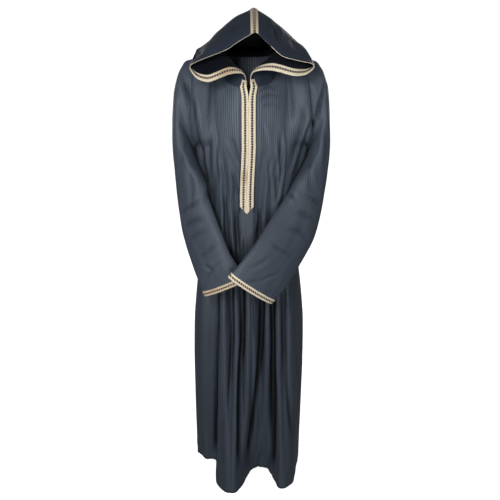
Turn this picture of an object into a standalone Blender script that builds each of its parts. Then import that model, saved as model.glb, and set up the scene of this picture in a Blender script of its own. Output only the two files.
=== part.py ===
"""Hooded robe with long sleeves crossed in front, filled out with no wearer.

Metres, +Z up, the front faces -Y. The origin lies between the shoulders, where a wearer carries the robe.
Each piece that is cut and sewn on is one closed cloth wall, with a hair of gap at every seam.
"""

import math
from collections import namedtuple

import bpy
import numpy as np

# Thickness of the cloth and its trim, and the gap at each seam
CLOTH = 0.0015
BRAID = 0.0012
SEAM_GAP = 0.0003

# Trim
BRAID_WIDTH = 0.0215
BRAID_INSET = 0.0008
CROWN_BRAID_WIDTH = 0.025

# Levels of the body; the lowest is the hem, which each fold row gives
CHEST_Z = -0.24
WAIST_Z = -0.448
THIGH_Z = -0.85
ROWS_HEM_TO_THIGH = 6
ROWS_THIGH_TO_WAIST = 5
ROWS_WAIST_TO_CHEST = 4
ROWS_ABOVE_CHEST = 8
COLUMNS_PER_FOLD = 2

# Body from the chest up
MIDDLE_X = -0.004
CHEST_LEFT_X = -0.172
CHEST_RIGHT_X = 0.182
CHEST_FRONT = 0.128
CHEST_BACK = 0.112
NECK_HALF_WIDTH = 0.092
NECK_FRONT_Y = -0.118
NECK_FRONT_Z = -0.052
NECK_BACK_Y = 0.092
NECK_BACK_Z = 0.040
NECK_SIDE_Y = 0.01
NECK_SIDE_Z = 0.050
SHOULDER_TIP_X = 0.160
SHOULDER_TIP_Z = 0.036
NECK_SHARE = 0.62

# Front opening: it ends at the waist level, and its braid ends in a point
BRAID_POINT = 0.024
SLIT_OPEN_FROM_Z = -0.085
SLIT_OPEN = 0.0055

# One row for each crest or valley of the front, from the left side seam to the right one
FrontFold = namedtuple("FrontFold", "waist_x waist_y thigh_x thigh_y hem_x hem_y hem_z")
FRONT_FOLDS = [
    FrontFold(-0.150, 0.000, -0.192, 0.000, -0.193, 0.004, -1.365),
    FrontFold(-0.141, -0.036, -0.166, -0.052, -0.160, -0.036, -1.372),
    FrontFold(-0.124, -0.066, -0.113, -0.060, -0.123, -0.036, -1.380),
    FrontFold(-0.108, -0.089, -0.106, -0.106, -0.120, -0.116, -1.413),
    FrontFold(-0.092, -0.110, -0.082, -0.126, -0.088, -0.168, -1.420),
    FrontFold(-0.077, -0.100, -0.061, -0.106, -0.068, -0.174, -1.420),
    FrontFold(-0.061, -0.114, -0.044, -0.130, -0.051, -0.174, -1.420),
    FrontFold(-0.045, -0.104, -0.027, -0.101, -0.031, -0.142, -1.418),
    FrontFold(-0.0315, -0.113, -0.010, -0.130, -0.013, -0.098, -1.410),
    FrontFold(-0.0100, -0.113, 0.004, -0.127, 0.002, -0.064, -1.403),
    FrontFold(0.0115, -0.112, 0.018, -0.129, 0.021, -0.047, -1.400),
    FrontFold(0.031, -0.101, 0.036, -0.095, 0.042, -0.045, -1.400),
    FrontFold(0.047, -0.112, 0.058, -0.110, 0.062, -0.054, -1.402),
    FrontFold(0.066, -0.101, 0.079, -0.076, 0.079, -0.084, -1.410),
    FrontFold(0.086, -0.104, 0.094, -0.118, 0.095, -0.134, -1.420),
    FrontFold(0.102, -0.090, 0.112, -0.098, 0.112, -0.150, -1.420),
    FrontFold(0.117, -0.088, 0.132, -0.098, 0.134, -0.140, -1.418),
    FrontFold(0.129, -0.066, 0.152, -0.070, 0.153, -0.116, -1.411),
    FrontFold(0.139, -0.040, 0.171, -0.042, 0.167, -0.050, -1.393),
    FrontFold(0.145, 0.000, 0.184, 0.000, 0.178, 0.004, -1.375),
]
SLIT_KNOT = 9

# One row for each crest or valley of the back: its place from right (1) to left (-1), and how far it stands out
BackFold = namedtuple("BackFold", "place waist thigh hem")
BACK_FOLDS = [
    BackFold(0.90, 0.002, 0.004, 0.010),
    BackFold(0.72, -0.004, -0.012, -0.022),
    BackFold(0.52, 0.004, 0.012, 0.022),
    BackFold(0.36, -0.003, -0.010, -0.018),
    BackFold(0.18, 0.003, 0.010, 0.020),
    BackFold(0.02, -0.004, -0.014, -0.026),
    BackFold(-0.16, 0.004, 0.012, 0.024),
    BackFold(-0.34, -0.003, -0.009, -0.016),
    BackFold(-0.52, 0.003, 0.010, 0.018),
    BackFold(-0.72, -0.004, -0.012, -0.024),
    BackFold(-0.90, 0.002, 0.004, 0.010),
]
BACK_DEPTH = {"waist": 0.104, "thigh": 0.120, "hem": 0.136}
BACK_HEM_Z = -1.405

# Side slits at the hem
SIDE_SLIT_Z = -1.16
SIDE_SLIT_OPEN = 0.006

# Sleeve rings from the armhole down: inner edge, outer edge, half the thickness between them,
# and how many degrees the seam lies behind the inner edge
Ring = namedtuple("Ring", "in_x in_y in_z out_x out_y out_z half_depth seam_back")
LEFT_SLEEVE = [
    Ring(-0.174, -0.052, -0.281, -0.246, -0.008, -0.190, 0.072, 49),
    Ring(-0.142, -0.121, -0.356, -0.242, -0.042, -0.288, 0.038, 70),
    Ring(-0.126, -0.134, -0.415, -0.221, -0.072, -0.500, 0.036, 20),
    Ring(-0.088, -0.176, -0.503, -0.187, -0.112, -0.610, 0.033, 20),
    Ring(-0.056, -0.190, -0.572, -0.164, -0.146, -0.665, 0.027, 8),
    Ring(-0.006, -0.199, -0.640, -0.144, -0.158, -0.708, 0.024, 0),
]
RIGHT_SLEEVE = [
    Ring(0.182, -0.052, -0.281, 0.253, -0.008, -0.190, 0.072, 49),
    Ring(0.138, -0.124, -0.352, 0.248, -0.046, -0.305, 0.040, 70),
    Ring(0.076, -0.176, -0.440, 0.210, -0.092, -0.515, 0.038, 24),
    Ring(0.014, -0.236, -0.523, 0.161, -0.134, -0.602, 0.033, 20),
    Ring(-0.030, -0.258, -0.573, 0.113, -0.178, -0.670, 0.027, 8),
    Ring(-0.066, -0.268, -0.614, 0.066, -0.206, -0.717, 0.024, 0),
]
# Way from the armhole to the first section of the sleeve; x is away from the middle, and -1 is the left side
UNDERARM_STEP = (0.008, 0.001, -0.003)
SHOULDER_STEP = {-1: (0.052, -0.008, -0.018), 1: (0.060, -0.008, -0.020)}
SLEEVE_ROWS = (2, 3, 3, 3, 3, 3, 2)

# Hood knots, in each row from the foot of the hood round its side fold to the seam over the head
Knot = namedtuple("Knot", "x y z")
HOOD_EDGE = {
    "left": [
        Knot(-0.019, -0.130, -0.015),
        Knot(-0.060, -0.150, -0.013),
        Knot(-0.126, -0.150, -0.036),
        Knot(-0.166, -0.137, -0.021),
        Knot(-0.180, -0.124, -0.003),
        Knot(-0.178, -0.112, 0.016),
        Knot(-0.118, -0.132, 0.040),
        Knot(-0.064, -0.122, 0.062),
        Knot(0.014, -0.100, 0.108),
    ],
    "right": [
        Knot(0.008, -0.130, -0.010),
        Knot(0.062, -0.150, -0.002),
        Knot(0.134, -0.150, -0.018),
        Knot(0.172, -0.134, -0.013),
        Knot(0.189, -0.122, -0.001),
        Knot(0.189, -0.112, 0.018),
        Knot(0.104, -0.130, 0.037),
        Knot(0.051, -0.118, 0.080),
        Knot(0.014, -0.100, 0.108),
    ],
}
# Way from the front edge to the inner side of its braid; x is towards the middle
HOOD_LEAN = [
    Knot(-0.002, 0.020, 0.004),
    Knot(0.000, 0.010, 0.019),
    Knot(0.000, 0.009, 0.019),
    Knot(0.001, 0.016, 0.013),
    Knot(0.000, 0.020, 0.006),
    Knot(-0.001, 0.020, 0.006),
    Knot(-0.005, 0.016, 0.013),
    Knot(-0.004, 0.016, 0.014),
    Knot(0.000, 0.015, 0.017),
]
# Sections further back; x is away from the middle
HOOD_MIDDLE = [
    Knot(0.104, 0.000, 0.072),
    Knot(0.122, -0.008, 0.074),
    Knot(0.146, -0.012, 0.058),
    Knot(0.162, -0.012, 0.050),
    Knot(0.170, -0.011, 0.055),
    Knot(0.168, -0.008, 0.070),
    Knot(0.142, 0.000, 0.087),
    Knot(0.078, 0.010, 0.139),
    Knot(0.000, 0.030, 0.187),
]
HOOD_REAR = [
    Knot(0.070, 0.086, 0.066),
    Knot(0.092, 0.098, 0.066),
    Knot(0.120, 0.114, 0.046),
    Knot(0.134, 0.125, 0.041),
    Knot(0.141, 0.132, 0.048),
    Knot(0.139, 0.138, 0.064),
    Knot(0.113, 0.146, 0.100),
    Knot(0.060, 0.147, 0.138),
    Knot(0.000, 0.148, 0.158),
]
HOOD_BACK = [
    Knot(0.038, 0.100, 0.056),
    Knot(0.052, 0.120, 0.048),
    Knot(0.072, 0.142, 0.012),
    Knot(0.082, 0.156, -0.002),
    Knot(0.087, 0.166, 0.000),
    Knot(0.087, 0.178, 0.012),
    Knot(0.074, 0.196, 0.034),
    Knot(0.040, 0.210, 0.054),
    Knot(0.000, 0.214, 0.062),
]
HOOD_LOW = [
    Knot(0.020, 0.103, 0.056),
    Knot(0.030, 0.122, 0.040),
    Knot(0.040, 0.140, -0.010),
    Knot(0.042, 0.152, -0.040),
    Knot(0.041, 0.162, -0.050),
    Knot(0.040, 0.176, -0.048),
    Knot(0.036, 0.192, -0.040),
    Knot(0.022, 0.205, -0.034),
    Knot(0.000, 0.210, -0.032),
]
HOOD_TIP = [
    Knot(0.000, 0.104, 0.056),
    Knot(0.000, 0.120, 0.036),
    Knot(0.000, 0.136, -0.018),
    Knot(0.000, 0.148, -0.060),
    Knot(0.000, 0.157, -0.078),
    Knot(0.000, 0.167, -0.088),
    Knot(0.000, 0.179, -0.090),
    Knot(0.000, 0.190, -0.086),
    Knot(0.000, 0.199, -0.076),
]
HOOD_SECTIONS = (HOOD_MIDDLE, HOOD_REAR, HOOD_BACK, HOOD_LOW, HOOD_TIP)
HOOD_ROWS = (2, 9, 3, 3, 2, 2)
HOOD_COLUMNS = (2, 2, 3, 2, 1, 2, 2, 3, 3)
LEAN_PULL = 0.35
# The seam over the head runs a little to the right at the front
HOOD_SKEW = (0.012, 0.006, 0.0, 0.0, 0.0)

# Columns of the front and back: the middle ones, and how many from there to each side of the neck
FRONT_CENTRE = SLIT_KNOT * COLUMNS_PER_FOLD
FRONT_CORNER = 11
BACK_CENTRE = (len(BACK_FOLDS) + 1) // 2 * COLUMNS_PER_FOLD
BACK_CORNER = 5
# Rows of the body at the slit's end and at the chest, and of the hood down to the end of its middle braid
SLIT_ROW = ROWS_HEM_TO_THIGH + ROWS_THIGH_TO_WAIST
CHEST_ROW = SLIT_ROW + ROWS_WAIST_TO_CHEST
CROWN_BRAID_ROWS = sum(HOOD_ROWS[:5]) + 1
# Share of the half neckline that the opening and the braid beside it take up
BRAID_SHARE = (SLIT_OPEN + BRAID_WIDTH) / (NECK_HALF_WIDTH * math.pi / 2)
# From the middle of the cloth's wall to the middle of a braid that lies on it
ON_CLOTH = CLOTH / 2 + SEAM_GAP + BRAID / 2

UP = np.array([0.0, 0.0, 1.0])
TINY = 1e-9


def catmull(values, at, closed=False):
    """Smooth curve through rows of values, read at the stations in at."""
    values = np.asarray(values, float)
    count = len(values)
    at = np.atleast_1d(np.asarray(at, float))
    if closed:
        start = np.floor(at + TINY).astype(int)
        before, first, second, after = (values[(start + k) % count] for k in (-1, 0, 1, 2))
    else:
        start = np.clip(np.floor(at + TINY).astype(int), 0, count - 2)
        padded = np.concatenate([[2 * values[0] - values[1]], values, [2 * values[-1] - values[-2]]])
        before, first, second, after = (padded[start + k] for k in range(4))
    t = (at - start).reshape((-1,) + (1,) * (values.ndim - 1))
    return 0.5 * (
        2 * first
        + (second - before) * t
        + (2 * before - 5 * first + 4 * second - after) * t**2
        + (3 * first - before - 3 * second + after) * t**3
    )


def stations(steps):
    """Stations over unit intervals, each cut into its own number of steps."""
    return np.array([k + i / n for k, n in enumerate(steps) for i in range(n)] + [len(steps)])


def steady_curve(loops, steps):
    """Rows of a smooth curve through each column of the loops, also where the loops lie close together."""
    padded = np.concatenate([[2 * loops[0] - loops[1]], loops, [2 * loops[-1] - loops[-2]]])
    gaps = np.diff(padded, axis=0)
    spans = np.sqrt(np.maximum(np.linalg.norm(gaps, axis=-1, keepdims=True), TINY))
    speeds = gaps / spans
    speeds = (speeds[:-1] * spans[1:] + speeds[1:] * spans[:-1]) / (spans[:-1] + spans[1:])
    rows = [loops[0]]
    for k, count in enumerate(steps):
        start, end = spans[k + 1] * speeds[k], spans[k + 1] * speeds[k + 1]
        for t in np.arange(1, count + 1) / count:
            row = loops[k] + smooth(t) * (loops[k + 1] - loops[k])
            rows.append(row + t * (1 - t) ** 2 * start - t**2 * (1 - t) * end)
    return np.array(rows)


def smooth(t):
    t = np.clip(t, 0.0, 1.0)
    return t * t * (3 - 2 * t)


def unit(vectors):
    return vectors / np.maximum(np.linalg.norm(vectors, axis=-1, keepdims=True), TINY)


def facing(grid):
    """Unit normals of a grid: out of the page where rows go up it and columns go to the right."""
    return unit(np.cross(np.gradient(grid, axis=1), np.gradient(grid, axis=0)))


def pull_in(grid, *edges):
    """Moves edges of a grid back into the piece by half a seam's gap."""
    grid = grid.copy()
    ends = {
        "first_column": (np.s_[:, 0], np.s_[:, 1]),
        "last_column": (np.s_[:, -1], np.s_[:, -2]),
        "first_row": (np.s_[0], np.s_[1]),
        "last_row": (np.s_[-1], np.s_[-2]),
    }
    for edge in edges:
        outer, inner = ends[edge]
        grid[outer] += SEAM_GAP / 2 * unit(grid[inner] - grid[outer])
    return grid


def walk(points, normals, distances):
    """Points and normals at distances along a line of the cloth."""
    run = np.concatenate([[0], np.cumsum(np.linalg.norm(np.diff(points, axis=0), axis=1))])
    place = np.stack([np.interp(distances, run, points[:, k]) for k in range(3)], 1)
    normal = np.stack([np.interp(distances, run, normals[:, k]) for k in range(3)], 1)
    return place, unit(normal)


def body_rings():
    """Closed rings of knots at the chest, waist, thigh and hem: the front's, then the back's."""
    places = np.array([fold.place for fold in BACK_FOLDS])
    across = np.sin(places * math.pi / 2)
    depth = np.cos(places * math.pi / 2)
    rings = []
    for level, height in (("waist", WAIST_Z), ("thigh", THIGH_Z), ("hem", None)):
        x = np.array([getattr(fold, level + "_x") for fold in FRONT_FOLDS])
        y = np.array([getattr(fold, level + "_y") for fold in FRONT_FOLDS])
        z = np.array([fold.hem_z if height is None else height for fold in FRONT_FOLDS])
        stands_out = np.array([getattr(fold, level) for fold in BACK_FOLDS])
        back_x = (x[0] + x[-1]) / 2 + (x[-1] - x[0]) / 2 * across
        back_y = BACK_DEPTH[level] * depth + stands_out * np.sqrt(depth)
        back_z = np.full(len(places), BACK_HEM_Z if height is None else height)
        rings.append(np.concatenate([np.stack([x, y, z], 1), np.stack([back_x, back_y, back_z], 1)]))
    waist_x = rings[0][: len(FRONT_FOLDS), 0]
    share = np.interp(waist_x, [waist_x[0], waist_x[SLIT_KNOT], waist_x[-1]], [-1, 0, 1])
    front_y = -CHEST_FRONT * (1 - np.abs(share) ** 2.1) ** (1 / 2.1)
    share, y = np.concatenate([share, across]), np.concatenate([front_y, CHEST_BACK * depth])
    x = np.interp(share, [-1, 0, 1], [CHEST_LEFT_X, MIDDLE_X, CHEST_RIGHT_X])
    chest = np.stack([x, y, np.full(len(y), CHEST_Z)], 1)
    return np.array([chest] + rings)


def neckline(share, side, front):
    """Point of the neckline, from the centre (share 0) to the side of the neck (share 1)."""
    turn = share * math.pi / 2
    centre_y = NECK_FRONT_Y if front else NECK_BACK_Y
    centre_z = NECK_FRONT_Z if front else NECK_BACK_Z
    rise = share**3 if front else share**2
    return np.array(
        [
            MIDDLE_X * (1 - share) + side * NECK_HALF_WIDTH * math.sin(turn),
            NECK_SIDE_Y + (centre_y - NECK_SIDE_Y) * math.cos(turn),
            centre_z + (NECK_SIDE_Z - centre_z) * rise,
        ]
    )


def shoulder(out, side):
    """Point of the shoulder seam, from the side of the neck (out 0) to the armhole (out 1)."""
    fall = (1 - out) * (1 - 0.6 * out)
    return np.array(
        [
            side * (NECK_HALF_WIDTH + (SHOULDER_TIP_X - NECK_HALF_WIDTH) * out),
            NECK_SIDE_Y,
            SHOULDER_TIP_Z + (NECK_SIDE_Z - SHOULDER_TIP_Z) * fall,
        ]
    )


def top_edge(place, front):
    """Top of the body and its normal: the neckline near the middle, then the shoulder seam."""
    side = -1.0 if place < 0 else 1.0
    share = abs(place) / NECK_SHARE
    out = (abs(place) - NECK_SHARE) / (1 - NECK_SHARE)
    if out <= TINY:
        turn = share * math.pi / 2
        forward = -1.0 if front else 1.0
        lean = 0.15 + 0.85 * share**2 if front else 0.5 + 0.5 * share**2
        normal = np.array([side * math.sin(turn), forward * math.cos(turn), lean])
        return neckline(share, side, front), unit(normal)
    step = 0.01
    along = shoulder(out + step, side) - shoulder(out - step, side)
    return shoulder(out, side), unit(np.array([-along[2] * side, 0.0, along[0] * side]))


def upper_line(chest, place, front):
    """One line of the cloth from the chest up to the neckline or the shoulder seam."""
    side = -1.0 if place < 0 else 1.0
    forward = -1.0 if front else 1.0
    top, _ = top_edge(place, front)
    share = min(abs(place) / NECK_SHARE, 1.0)
    out = (abs(place) / NECK_SHARE - share) * NECK_SHARE / (1 - NECK_SHARE)
    to_side = smooth(share)
    to_armhole = smooth((abs(place) - 0.55) / 0.45)
    low = np.array([0.0, 0.0, 0.075]) * (1 - to_armhole)
    low += np.array([side * 0.030, forward * 0.118, 0.040]) * to_armhole
    turn = share * math.pi / 2
    away = np.array([side * math.sin(turn), forward * math.cos(turn), 0.0])
    neck = away * (0.002 + 0.036 * to_side) + np.array([0.0, forward * 0.034, 0.0]) * to_side
    neck[2] = -0.065 + 0.043 * to_side
    over = smooth(out / 0.4)
    high = neck * (1 - over) + np.array([0.0, forward * 0.066, -0.010]) * over
    high = high * (1 - to_armhole) + np.array([side * 0.025, forward * 0.100, -0.026]) * to_armhole
    t = np.linspace(0, 1, ROWS_ABOVE_CHEST + 1)[:, None]
    return (
        (1 - t) ** 3 * chest
        + 3 * t * (1 - t) ** 2 * (chest + low)
        + 3 * t**2 * (1 - t) * (top + high)
        + t**3 * top
    )


def top_places(front):
    """Place of each column along the top edge, from -1 to 1, with one column on each neck corner."""
    if front:
        steps, shares = (0, 2, FRONT_CORNER, FRONT_CENTRE), (0, BRAID_SHARE, 1, 1 / NECK_SHARE)
        steps_right = steps[:3] + ((len(FRONT_FOLDS) - 1) * COLUMNS_PER_FOLD - FRONT_CENTRE,)
    else:
        steps, shares = (0, BACK_CORNER, BACK_CENTRE), (0, 1, 1 / NECK_SHARE)
        steps_right = steps
    left = np.interp(np.arange(steps[-1] + 1), steps, shares)
    right = np.interp(np.arange(steps_right[-1] + 1), steps_right, shares)
    return NECK_SHARE * np.concatenate([-left[::-1], right[1:]])


def body_panel(front):
    """Grid and normals of the front or back: rows go up, columns go to the right seen from outside."""
    rings = body_rings()
    last, count = len(FRONT_FOLDS) - 1, rings.shape[1]
    folds = last if front else count - last
    start = 0 if front else last
    at = np.linspace(start, start + folds, folds * COLUMNS_PER_FOLD + 1)
    sections = np.array([catmull(ring, at, closed=True) for ring in rings])
    rows = (ROWS_HEM_TO_THIGH, ROWS_THIGH_TO_WAIST, ROWS_WAIST_TO_CHEST)
    lower = catmull(sections[::-1], stations(rows))
    places = top_places(front) * (1 if front else -1)
    upper = np.stack([upper_line(c, p, front) for c, p in zip(sections[0], places)], 1)
    grid = np.concatenate([lower, upper[1:]])
    forward = -1.0 if front else 1.0
    for column in (0, -1):
        low = smooth((SIDE_SLIT_Z - grid[:, column, 2]) / 0.12)
        grid[:, column, 1] += forward * SIDE_SLIT_OPEN * low
    if front:
        # Beside the slit two columns lie under the middle and the outer edge of the braid
        for line in grid[SLIT_ROW:]:
            distances = neck_open(line[FRONT_CENTRE, 2]) + BRAID_WIDTH * np.array([0.5, 1.0])
            left, right = line[FRONT_CENTRE::-1].copy(), line[FRONT_CENTRE:].copy()
            line[[FRONT_CENTRE - 1, FRONT_CENTRE - 2]] = walk(left, left, distances)[0]
            line[[FRONT_CENTRE + 1, FRONT_CENTRE + 2]] = walk(right, right, distances)[0]
    normals = facing(grid)
    normals[-1] = [top_edge(p, front)[1] for p in places]
    return grid, normals


def sleeve_ring(ring, steps):
    """Points round one ring from its inner edge, by the front, to the outer edge and round the back."""
    inner = np.array([ring.in_x, ring.in_y, ring.in_z])
    outer = np.array([ring.out_x, ring.out_y, ring.out_z])
    centre, reach = (inner + outer) / 2, (outer - inner) / 2
    front = unit(np.array([0.0, -1.0, 0.0]) + unit(reach)[1] * unit(reach))
    turn = np.linspace(0, 2 * math.pi, steps + 1)[:, None]
    turn -= math.radians(ring.seam_back) * (1 + np.cos(turn)) / 2
    return centre - reach * np.cos(turn) + front * ring.half_depth * np.sin(turn)


def sleeve(rings, armhole, side):
    """Grid and normals of a sleeve: rows go from the armhole down to the cuff."""
    steps = len(armhole) - 1
    up = (1 - np.cos(np.linspace(0, 2 * math.pi, steps + 1)))[:, None] / 2
    step = (np.array(UNDERARM_STEP) * (1 - up) + np.array(SHOULDER_STEP[side]) * up) * (side, 1, 1)
    loops = [armhole, armhole + step] + [sleeve_ring(ring, steps) for ring in rings]
    grid = steady_curve(np.array(loops), SLEEVE_ROWS)
    for c in range(grid.shape[1]):
        grid[-2, c] = walk(grid[::-1, c], grid[::-1, c], [BRAID_INSET + BRAID_WIDTH])[0][0]
    normals = -side * facing(grid)
    seam = unit(normals[:, 0] + normals[:, -1])
    normals[:, 0] = seam
    normals[:, -1] = seam
    return grid, normals


def hood_half(name, side, foot, foot_normals):
    """Grid and normals of half the hood: rows go from the front edge to the back, columns up from the foot."""
    flip = np.array([side, 1.0, 1.0])
    edge = np.array(HOOD_EDGE[name])
    lean = unit(np.array(HOOD_LEAN)) * flip * (-1, 1, 1)
    sections = [edge, edge + lean * (BRAID_INSET + BRAID_WIDTH)]
    sections += [np.array(knots) * flip for knots in HOOD_SECTIONS]
    lift = np.clip((np.arange(len(edge)) - 5) / (len(edge) - 6), 0, 1)[:, None]
    for section, skew in zip(sections[2:], HOOD_SKEW):
        section += lift * np.array([skew, 0, 0])
    feet = np.concatenate([[0], np.cumsum(HOOD_ROWS)])
    # A knot of the other half ends each section, so that the cloth is rounded over the seam
    beyond = [section[-1] * (2, 0, 0) + section[-2] * (-1, 1, 1) for section in sections]
    loops = [
        np.concatenate([[foot[row]], section, [end]]) for row, section, end in zip(feet, sections, beyond)
    ]
    across = stations(HOOD_COLUMNS)
    edge, inner, *rest = (catmull(loop, across) for loop in loops)
    # The cloth leaves the braid the way the braid leans, and then swings back over the head
    run = np.linalg.norm(rest[0] - inner, axis=-1, keepdims=True)
    before = inner - unit(inner - edge) * run * LEAN_PULL
    body = catmull(np.array([before, inner, *rest]), 1 + stations(HOOD_ROWS[1:]))
    grid = np.concatenate([[edge, (edge + inner) / 2], body])
    fade = np.clip(1 - across, 0, 1)[None, :, None]
    grid = grid + (foot - grid[:, 0])[:, None] * fade
    for line in grid[:CROWN_BRAID_ROWS]:
        line[-2] = walk(line[::-1], line[::-1], [CROWN_BRAID_WIDTH / 2])[0][0]
    normals = -side * facing(grid)
    normals[:, 0] = foot_normals
    # Both halves share one normal where they meet
    for seam in (np.s_[:, -1], np.s_[-1]):
        normals[seam] = unit(normals[seam] * (0, 1, 1))
    return grid, normals


def sheet(name, vertices, faces, normals, thickness, material, collection):
    """Closed wall round an open sheet of triangles, half its thickness to each side."""
    count = len(vertices)
    points = np.concatenate([vertices + normals * thickness / 2, vertices - normals * thickness / 2])
    edges = {(a, b) for face in faces for a, b in zip(face, face[1:] + face[:1])}
    walls = list(faces)
    walls += [[count + v for v in reversed(face)] for face in faces]
    walls += [[b, a, count + a, count + b] for a, b in sorted(edges) if (b, a) not in edges]
    mesh = bpy.data.meshes.new(name)
    mesh.from_pydata(points.tolist(), [], walls)
    mesh.materials.append(material)
    mesh.shade_smooth()
    collection.objects.link(bpy.data.objects.new(name, mesh))


def triangles(rows, columns, first=0, mirrored_from=None):
    """Two triangles for each cell of a grid; from the column mirrored_from they are cut the other way."""
    faces = []
    for r in range(rows - 1):
        for c in range(columns - 1):
            a = first + r * columns + c
            b, up, across = a + 1, a + columns, a + columns + 1
            if mirrored_from is not None and c >= mirrored_from:
                faces += [[a, b, across], [a, across, up]]
            else:
                faces += [[a, b, up], [b, across, up]]
    return faces


def wall(name, grid, normals, thickness, material, collection, turned=False):
    """Closed wall round a grid; turned is for a grid whose rows go down seen from outside."""
    faces = triangles(*grid.shape[:2])
    if turned:
        faces = [face[::-1] for face in faces]
    sheet(name, grid.reshape(-1, 3), faces, normals.reshape(-1, 3), thickness, material, collection)


def make_material(name, colour, roughness, metallic):
    material = bpy.data.materials.new(name)
    material.use_nodes = True
    shader = material.node_tree.nodes["Principled BSDF"]
    shader.inputs["Base Color"].default_value = (*colour, 1.0)
    shader.inputs["Roughness"].default_value = roughness
    shader.inputs["Metallic"].default_value = metallic
    material.diffuse_color = (*colour, 1.0)
    return material


def neck_open(z):
    """How far each edge of the slit stands off the middle."""
    return SLIT_OPEN * smooth((z - SLIT_OPEN_FROM_Z) / (NECK_FRONT_Z - SLIT_OPEN_FROM_Z))


def split_front(front):
    """Left and right halves of the front, parted above the slit's end and opened a little at the neck."""
    halves = {}
    for side, columns in ((-1, np.s_[: FRONT_CENTRE + 1]), (1, np.s_[FRONT_CENTRE:])):
        half = front[:, columns].copy()
        edge = half[SLIT_ROW + 1 :, -1 if side < 0 else 0]
        edge[:, 0] += side * (SEAM_GAP / 2 + neck_open(edge[:, 2]))
        halves[side] = half
    return halves


def add_front(halves, normals, cloth, collection):
    left, right = halves[-1], halves[1]
    rows, left_columns = left.shape[:2]
    right_columns = right.shape[1]
    first = rows * left_columns
    faces = triangles(rows, left_columns) + triangles(rows, right_columns, first)
    # Up to the slit's end the two middle columns are one
    merge = {first + r * right_columns: (r + 1) * left_columns - 1 for r in range(SLIT_ROW + 1)}
    faces = [[merge.get(v, v) for v in face] for face in faces]
    used = sorted({v for face in faces for v in face})
    new = {v: i for i, v in enumerate(used)}
    faces = [[new[v] for v in face] for face in faces]
    points = np.concatenate([left.reshape(-1, 3), right.reshape(-1, 3)])[used]
    left_normals, right_normals = normals[:, : FRONT_CENTRE + 1], normals[:, FRONT_CENTRE:]
    facings = np.concatenate([left_normals.reshape(-1, 3), right_normals.reshape(-1, 3)])[used]
    sheet("front_panel", points, faces, facings, CLOTH, cloth, collection)


def add_placket_braid(name, side, half, normals, hood, braid, collection):
    """Braid along one edge of the slit, from the front edge of the hood down to a slanting end."""
    if side < 0:
        half, normals = half[:, ::-1], normals[:, ::-1]
    points = np.concatenate([half[SLIT_ROW:, :3], [hood[0][:3, 1]]])
    facings = np.concatenate([normals[SLIT_ROW:, :3], [hood[1][:3, 1]]])
    rise = points[1, :, 2] - points[0, :, 2]
    share = (np.array([0.0, 0.5, 1.0]) * BRAID_POINT / rise)[:, None]
    points[0] += share * (points[1] - points[0])
    points[0, 0, 0] += side * SEAM_GAP / 2
    wall(name, points + facings * ON_CLOTH, facings, BRAID, braid, collection, turned=side < 0)


def add_cuff_braid(name, side, grid, normals, braid, collection):
    """Braid round the end of a sleeve."""
    points, facings = grid[-2:] + normals[-2:] * ON_CLOTH, normals[-2:]
    points[1] += BRAID_INSET * unit(points[0] - points[1])
    points = pull_in(points, "first_column", "last_column")
    wall(name, points, facings, BRAID, braid, collection, turned=side > 0)


def add_hood_braid(name, side, grid, normals, braid, collection):
    """Braid on the inner face along the hood's front edge."""
    points, facings = grid[:3] - normals[:3] * ON_CLOTH, normals[:3]
    points[0] += BRAID_INSET * unit(points[1] - points[0])
    points = pull_in(points, "first_column", "last_column")
    wall(name, points, facings, BRAID, braid, collection, turned=side > 0)


def add_crown_braid(hoods, braid, collection):
    """Braid over the seam of the hood, from its front edge to near its tip."""
    rows = np.s_[:CROWN_BRAID_ROWS]
    points, facings = (
        np.stack([hoods[1][k][rows, -2], hoods[1][k][rows, -1], hoods[-1][k][rows, -2]], 1) for k in (0, 1)
    )
    faces = triangles(len(points), 3, mirrored_from=1)
    faces = [face[::-1] for face in faces]
    points = (points + facings * ON_CLOTH).reshape(-1, 3)
    sheet("hood_crown_braid", points, faces, facings.reshape(-1, 3), BRAID, braid, collection)


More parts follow.
